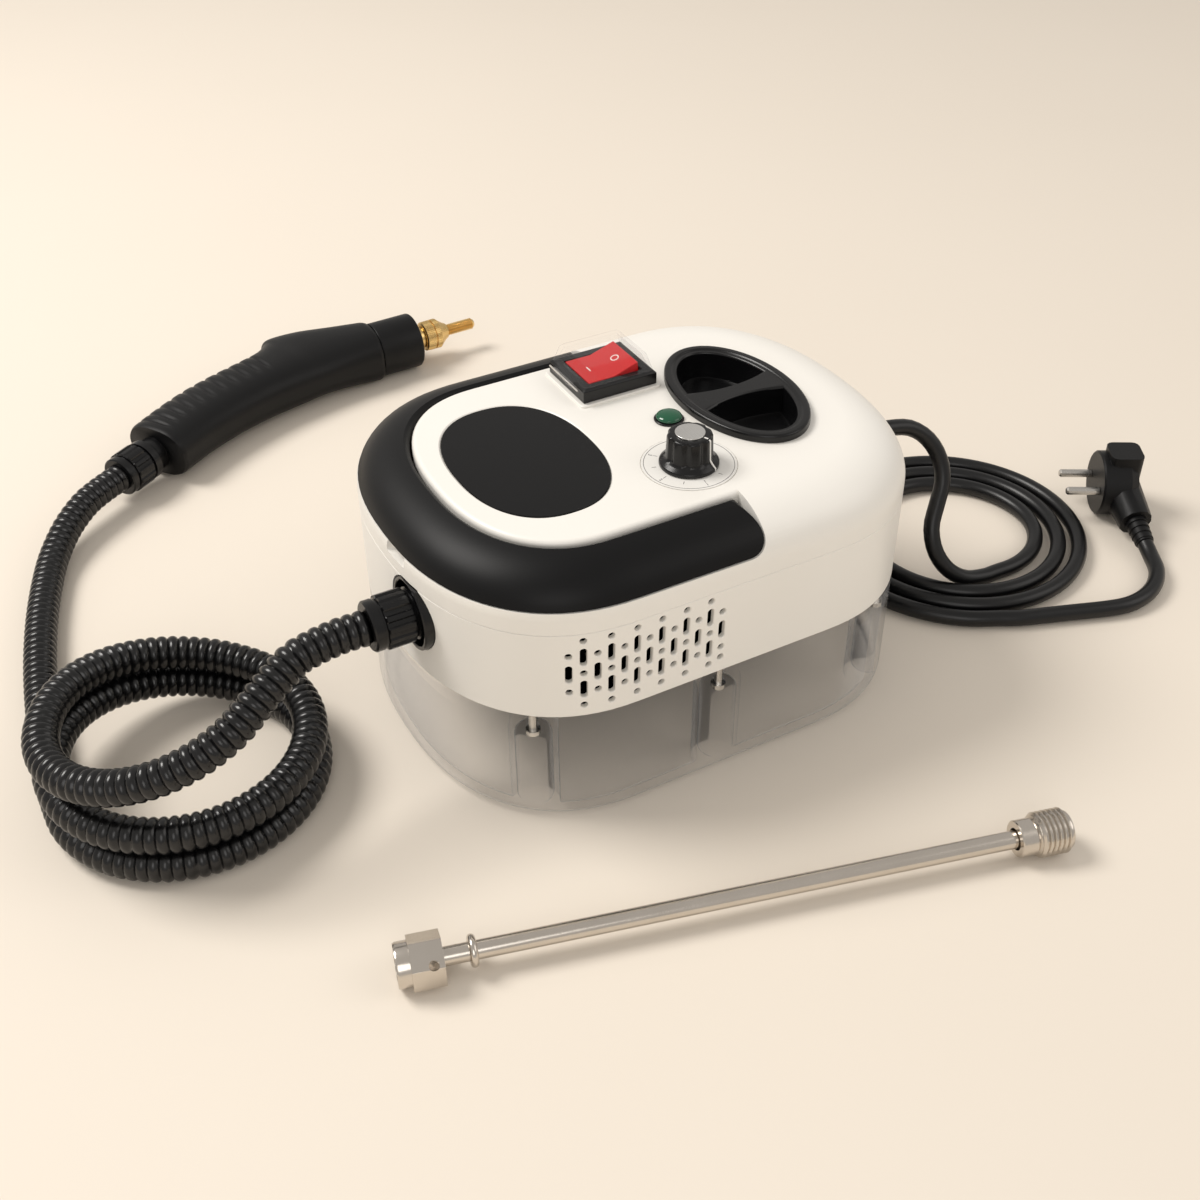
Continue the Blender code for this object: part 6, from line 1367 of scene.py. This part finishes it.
bezel_profile = [(4.7, 127), (6.2, 127), (6.2, 139.3), (7.3, 139.3), (7.3, 139.7), (6.9, 140.1), (6.2, 140.1),
                 (4.7, 140.1)]
piece("lamp_ring", spun(in_mm(bezel_profile), 64, upright(LAMP), ring=True), black_gloss, "root",
      ("lamp_bezel",))
dome_profile = [(4.7, 128), (4.7, 140.4), (6.3, 140.4), (LENS_RADIUS_MM, LENS_FOOT_MM)]
for k in range(1, 10):
    turn = math.pi / 2 * k / 10
    dome_profile.append((LENS_RADIUS_MM * math.cos(turn), LENS_FOOT_MM + LENS_RISE_MM * math.sin(turn)))
piece("lamp_dome", spun(in_mm(dome_profile), 64, upright(LAMP)), green_lens, "root",
      ("lamp_lens",))
panel_rings = [panel_oval(0, DECK_Z - 0.75 * MM), panel_oval(0, DECK_Z - 0.15 * MM),
               panel_oval(-0.2 * MM, DECK_Z + 0.05 * MM)]
piece("bare_panel", drawn(panel_rings), black_panel, "root", ("deck_panel",))

# %% [markdown]
# ## Nuts and the hose port
#
# Each end of the hose is held by a black nut with long grip ribs between two plain rings. The nut is drawn
# round, with a radius that steps out at each rib, and the port is a spun cup let into the band.

# %% Ribbed nuts
NUT_RIBS = 14
POINTS_PER_RIB = 8
RIB_HEIGHT = 0.9 * MM
NUT_PROFILE = [(-0.8, 0.0, 0), (0, 0.03, 0), (0, 0.17, 0), (-0.9, 0.18, 0), (-0.9, 0.22, 0), (0, 0.23, 0),
               (0, 0.25, 1), (0, 0.70, 1), (0, 0.72, 0), (-0.9, 0.73, 0), (-0.9, 0.77, 0), (0.4, 0.78, 0),
               (0.4, 0.97, 0), (-0.4, 1.0, 0)]


def nut_ring(radius, place, z, rib):
    return toothed_ring(place, radius, z, POINTS_PER_RIB * NUT_RIBS, POINTS_PER_RIB, (2, 3, 4, 5), rib)


def ribbed_nut(name, node, start, direction, length, radius, bore):
    """A nut whose rows tell how far out of its rim they lie, at what share of its length, and if ribbed."""
    place = aim(start, direction)
    rim = radius - RIB_HEIGHT
    rows = [nut_ring(rim + out * MM, place, share * length, rib * RIB_HEIGHT)
            for out, share, rib in NUT_PROFILE]
    rows += [nut_ring(bore, place, share * length, 0) for share in (1.0, 0.0)]
    nut = piece(name, drawn(rows, closed=True), black_gloss, "root", (node,), 30)
    return crisp(nut, 30)


ribbed_nut("port_nut", "port_hose_nut", (-150 * MM, -25 * MM, 93 * MM), (1, 0, 0), 27 * MM, 13 * MM, 7.3 * MM)
ribbed_nut("gun_nut", "gun_hose_nut", gun_end + gun_inward * GAP, gun_inward, GUN_NUT_LENGTH, 13 * MM, 5 * MM)

# %% [markdown]
# The port is a cup let into the band, with a collar in its middle over which the nut is screwed.

# %% Port cup
cup_profile = [(18, -10), (18, -0.6), (17.4, 0), (16.4, 0), (16, -0.4), (16, -8), (7, -8), (7, 2), (5, 2),
               (5, -10)]
port = piece("port_cup", spun(in_mm(cup_profile), 72, port_frame, ring=True), black_gloss, "root",
             ("hose_port",))
above = drawn([pad((PORT_PLACE.x, PORT_PLACE.y), 20 * MM, 23 * MM, z, MM, 2) for z in (109.7 * MM, 120 * MM)])
cut(port, above)
crisp(port, 30)

# %% [markdown]
# ## The steam gun
#
# The gun's side view is a pair of outlines, back and belly. A smooth curve through each gives as many
# sections as wanted, and every section is a squarish oval between them. Grooves for the hand are dips in
# the sections over the back, and a fine parting line runs round where the two halves meet.

# %% Gun outlines
GUN_LENGTH = 250 * MM
GUN_FOOT = Vector((-171, 291, 18.7)) * MM
GUN_HEADING = math.radians(13)
GUN_HALF_THICK = 17.5 * MM
GUN_BACK_SHARES = [(-0.033, 0.077), (0.041, 0.112), (0.139, 0.149), (0.230, 0.171), (0.320, 0.184),
                   (0.398, 0.197), (0.437, 0.219), (0.458, 0.244), (0.53, 0.226), (0.62, 0.178),
                   (0.704, 0.134)]
GUN_BELLY_SHARES = [(0.028, -0.092), (0.085, -0.070), (0.150, -0.047), (0.240, -0.024), (0.330, -0.010),
                    (0.400, -0.006), (0.455, -0.005), (0.510, -0.006), (0.565, -0.010), (0.62, -0.018),
                    (0.672, -0.027)]
GUN_THICK_SHARES = [0.93, 0.92, 0.92, 0.93, 0.95, 0.97, 1.0, 1.0, 1.03, 1.05, 1.07]
GUN_GROOVES = 11
GUN_GROOVE_FIRST_SHARE = 0.45 / 10
GUN_GROOVE_LAST_SHARE = 4.6 / 10
GUN_GROOVE_DEPTH = 1.1 * MM


def gun_place(along, up):
    ahead = Vector((math.cos(GUN_HEADING), math.sin(GUN_HEADING), 0))
    back = Vector((-math.sin(GUN_HEADING), math.cos(GUN_HEADING), 0))
    return GUN_FOOT + ahead * along * GUN_LENGTH + back * up * GUN_LENGTH


def outline(shares, steps):
    return smooth_curve([gun_place(*pair) for pair in shares], steps)


def groove_dip(share):
    """How deep the hand grooves are at a share of the grip's length."""
    pitch = (GUN_GROOVE_LAST_SHARE - GUN_GROOVE_FIRST_SHARE) / (GUN_GROOVES - 1)
    dip = 0.0
    for k in range(GUN_GROOVES):
        off = (share - GUN_GROOVE_FIRST_SHARE - k * pitch) / (pitch * 0.24)
        dip = max(dip, 1 - off * off)
    return dip


# %% [markdown]
# The body is drawn through those sections in one go. The grooves fade out towards the belly, as they do where
# fingers wrap round the back of a grip.

# %% Gun body
GUN_STEPS = 22
GUN_POINTS = 56
GUN_SQUARENESS = 0.82
PARTING_DEPTH = 0.35 * MM
backs = outline(GUN_BACK_SHARES, GUN_STEPS)
bellies = outline(GUN_BELLY_SHARES, GUN_STEPS)
thicks = smooth_curve([Vector((share, 0, 0)) for share in GUN_THICK_SHARES], GUN_STEPS)
gun_rings = []
for k, (back, belly, thick) in enumerate(zip(backs, bellies, thicks)):
    share = k / (len(backs) - 1)
    middle, half = (back + belly) / 2, (back - belly) / 2
    ends = min(k, len(backs) - 1 - k)
    rounding = 1 - 0.05 * max(0.0, 1 - ends / 4) ** 2
    ring = []
    for n in range(GUN_POINTS):
        turn = 2 * math.pi * n / GUN_POINTS
        c, s = math.cos(turn), math.sin(turn)
        fade = ease((c + 0.35) / 0.3)
        dip = GUN_GROOVE_DEPTH * groove_dip(share) * fade + (PARTING_DEPTH if abs(s) < 0.02 else 0.0)
        across = half * math.copysign(abs(c) ** GUN_SQUARENESS, c) * rounding
        height = math.copysign(abs(s) ** GUN_SQUARENESS, s) * GUN_HALF_THICK * thick.x * rounding
        point = middle + across + Vector((0, 0, height))
        ring.append(point - (point - middle).normalized() * dip)
    gun_rings.append(ring)
piece("gun_body", drawn(gun_rings), black_grip, "root", ("gun_shell_left", "gun_shell_right"), 60)
print("gun sections:", len(gun_rings))

# %% [markdown]
# The muzzle carries a smooth collar, and out of it come a knurled brass flange, a knurled nut and a threaded
# stub. Knurling is a ring of small teeth, which is cheap to draw and catches the light as cut metal does.

# %% Collar, nozzle and inlet
NOZZLE_AHEAD = Vector((math.cos(NOZZLE_HEADING), math.sin(NOZZLE_HEADING), 0))
KNURL_DEPTH = 0.25 * MM
THREAD_TURNS = 14
THREAD_PITCH = 1.35
NECK_LENGTH_MM = 8


def along_nozzle(name, node, profile, look, count=72):
    """A spun piece on the nozzle's axis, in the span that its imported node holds."""
    low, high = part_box(node)
    middle = (low + high) / 2
    length = profile[-1][1]
    place = aim(middle - NOZZLE_AHEAD * length / 2, NOZZLE_AHEAD)
    return piece(name, spun(profile, count, place), look, "root", (node,))


def knurled(name, node, radius, length, teeth, profile):
    """A knurled brass collar; its profile holds shares of its length and radius, and teeth or none."""
    low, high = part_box(node)
    place = aim((low + high) / 2 - NOZZLE_AHEAD * length / 2, NOZZLE_AHEAD)
    rows = [toothed_ring(place, r * radius, share * length, 4 * teeth, 4, (1, 2), tooth * KNURL_DEPTH)
            for share, r, tooth in profile]
    return piece(name, drawn(rows), brass, "root", (node,), 30)


collar_profile = eased([(16.5, 0), (18.4, 0), (18.4, 29), (17.6, 30), (12, 30)], 1.0, 3)
along_nozzle("gun_muzzle", "gun_collar", in_mm(collar_profile), black_grip, 96)
knurled("brass_flange", "nozzle_flange", 8.9 * MM, 6 * MM, 44,
        [(0, 0.92, 0), (0.08, 1, 1), (0.36, 1, 1), (0.42, 0.86, 0), (0.7, 0.86, 0), (1, 0.82, 0)])
knurled("brass_nut", "nozzle_nut", 9.9 * MM, 18 * MM, 52,
        [(0, 0.9, 0), (0.04, 0.98, 1), (0.36, 1, 1), (0.37, 0.93, 0), (0.41, 0.93, 0), (0.42, 1, 1), (0.62, 1, 1),
         (0.66, 0.96, 0), (0.9, 0.62, 0), (1, 0.53, 0)])
thread = [(3.0, 0.0)]
for k in range(THREAD_TURNS):
    thread += [(3.1, 1.0 + THREAD_PITCH * k), (3.9, 1.55 + THREAD_PITCH * k), (3.9, 1.75 + THREAD_PITCH * k)]
thread += [(3.1, 20.2), (2.6, 21)]
along_nozzle("brass_stub", "nozzle_stub", in_mm(thread), brass, 48)
neck_place = aim(node_middle("gun_inlet") - gun_inward * (NECK_LENGTH_MM / 2) * MM, gun_inward)
neck_profile = [(5, 0), (9.6, 0), (10.5, 0.8), (10.5, 7.2), (9.6, NECK_LENGTH_MM), (5, NECK_LENGTH_MM)]
piece("gun_throat", spun(in_mm(neck_profile), 64, neck_place, ring=True), black_gloss, "root",
      ("gun_inlet",))

# %% [markdown]
# The hose was laid to end at the gun's nut, whose place comes from the imported node.

# %% Where the hose ends
print("hose ends at the gun's nut")

# %% [markdown]
# ## The extension wand
#
# A plated tube with a hexagonal socket and a raised ring at one end and a threaded piece at the other. Tube,
# ring and thread are spun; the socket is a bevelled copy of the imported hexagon.

# %% Wand
BEAD_STEPS = 12
BEAD_FOOT = 5.6 * MM
BEAD_OUT = 1.6 * MM
BEAD_START = 31 * MM
BEAD_HALF_WIDTH = 1.75 * MM

wand_ahead = (WAND_END - WAND_START).normalized()
wand_length = (WAND_END - WAND_START).length
wand_place = aim(WAND_START, wand_ahead)


def on_wand(name, node, profile, ring=False, count=64):
    return piece(name, spun(profile, count, wand_place, ring), wand_steel, "root", (node,))


softened("wand_hexagon", "wand_socket", 0.5 * MM, wand_steel, "root", 3)
tube_start, tube_end = 20.3 * MM, wand_length - 25.3 * MM
on_wand("wand_pipe", "wand_tube", [(4.2 * MM, tube_start), (4.2 * MM, tube_end)], count=48)
ring_profile = []
for k in range(BEAD_STEPS + 1):
    turn = math.pi * k / BEAD_STEPS
    ring_profile.append((BEAD_FOOT + BEAD_OUT * math.sin(turn),
                         BEAD_START + BEAD_HALF_WIDTH * (1 - math.cos(turn))))
on_wand("wand_bead", "wand_ring", ring_profile + [(4.3 * MM, 34.5 * MM), (4.3 * MM, BEAD_START)], ring=True)
end_profile = [(5.2, -25), (8.0, -25), (8.5, -24.5), (8.5, -17.6), (8.0, -17), (8.6, -16.6), (9.4, -16.2)]
for k in range(6):
    start = -15.6 + 2.4 * k
    end_profile += [(9.3, start), (10.5, start + 0.85), (10.5, start + 1.25), (9.3, start + 2.0)]
end_profile += [(9.3, -1.0), (8.8, 0), (6.9, 0), (6.5, -0.4), (6.5, -17), (5.2, -17)]
on_wand("wand_thread", "wand_thread_end", in_mm(end_profile, wand_length), ring=True, count=72)
print("wand is", round(wand_length / MM), "mm long")

# %% [markdown]
# ## The strain relief and the plug
#
# The lead leaves the band through a tapered relief with rings. The plug at its end is an angled one: a round
# body with two pins, and an arm that leaves it sideways and ends in a ribbed tail.

# %% Gland and plug
gland_profile = [(5.9, -4.5), (5.9, 0.6), (8.5, 0.6), (8.5, 4), (7.4, 4.6)]
for k in range(5):
    z = 6 + 3.6 * k
    wide, narrow = 7.2 - 0.32 * k, 6.3 - 0.32 * k
    gland_profile += [(wide, z), (wide, z + 2.2), (narrow, z + 2.5), (narrow, z + 3.4)]
gland_profile += [(5.5, 25)]
piece("strain_relief", spun(in_mm(gland_profile), 48, gland_frame), black_gloss, "root",
      ("cord_gland",))
softened("plug_moulding", "plug_body", 0.9 * MM, black_grip, "root", 3)
tail_profile = [(5.0, 32.3)]
for k in range(4):
    z = 32.3 + 4 * k
    wide, narrow = 6.3 - 0.3 * k, 5.5 - 0.2 * k
    tail_profile += [(wide, z + 0.1), (wide, z + 2.5), (narrow, z + 2.7), (narrow, z + 3.8)]
tail_profile += [(4.6, 48.3)]
piece("plug_tail_moulding", spun(in_mm(tail_profile), 40, aim(PLUG_ARM_ROOT, PLUG_ARM)), black_grip, "root",
      ("plug_tail",))

# %% [markdown]
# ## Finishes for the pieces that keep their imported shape
#
# Screws, pins, the neck, the inner works and the dial plate are right as packed. They only get their finish.

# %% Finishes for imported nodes
PACKED_FINISHES = {
    bright_steel: ["handle_pin_front", "handle_pin_rear", "cover_hinge_pin", "knob_spindle", "thermostat",
                   "plug_pin_1", "plug_pin_2", "boiler"] + [f"tank_screw_{k + 1}" for k in range(6)],
    black_gloss: ["chassis_plate", "filler_neck", "pump"],
    seal_rubber: ["tank_gasket", "cap_seal"],
    board_green: ["control_board"],
    dial_white: ["dial_plate"],
}
for look, names in PACKED_FINISHES.items():
    for name in names:
        mesh = nodes[name].data
        mesh.materials.clear()
        mesh.materials.append(look)
        mesh.shade_smooth()
        mesh.set_sharp_from_angle(angle=math.radians(34))
print("packed nodes finished:", sum(len(names) for names in PACKED_FINISHES.values()))

# %% [markdown]
# ## Floor and light
#
# The set is a pale warm sweep of floor under a large soft light from behind the left, with a weaker fill, so
# that shadows fall softly forwards and to the right.

# %% Stage
FLOOR_COLOUR = (0.80, 0.725, 0.63)
FLOOR_HALF_WIDTH = 4
LIGHT_TARGET = Vector((0, 0, 0.05))
WORLD_COLOUR = (1.0, 0.96, 0.91, 1)
WORLD_STRENGTH = 0.56

floor_bm = bmesh.new()
bmesh.ops.create_grid(floor_bm, x_segments=1, y_segments=1, size=FLOOR_HALF_WIDTH)
floor_mesh = bpy.data.meshes.new("floor")
floor_bm.to_mesh(floor_mesh)
floor_bm.free()
floor = linked("floor", floor_mesh)
floor_look, floor_tree, floor_shader, floor_vector = start_material("floor_paper", FLOOR_COLOUR, 0.75)
tint(floor_tree, floor_shader, FLOOR_COLOUR, (0.78, 0.705, 0.61), noise_node(floor_tree, floor_vector, 3, 3))
floor_mesh.materials.append(floor_look)


def area_light(name, place, size, power, colour):
    data = bpy.data.lights.new(name, "AREA")
    data.shape = "DISK"
    data.size = size
    data.energy = power
    data.color = colour
    linked(name, data).matrix_world = aim(place, Vector(place) - LIGHT_TARGET)


area_light("key_light", (-1.1, 1.0, 1.9), 1.1, 40, (1.0, 0.97, 0.93))
area_light("fill_light", (1.6, -1.2, 1.5), 1.6, 7, (1.0, 0.96, 0.92))
area_light("front_light", (-0.9, -1.7, 1.3), 1.2, 7, (1.0, 0.98, 0.96))
world = bpy.data.worlds.new("studio")
world.use_nodes = True
background = world.node_tree.nodes["Background"]
background.inputs["Color"].default_value = WORLD_COLOUR
background.inputs["Strength"].default_value = WORLD_STRENGTH
bpy.context.scene.world = world
bpy.context.scene.view_settings.view_transform = "Standard"
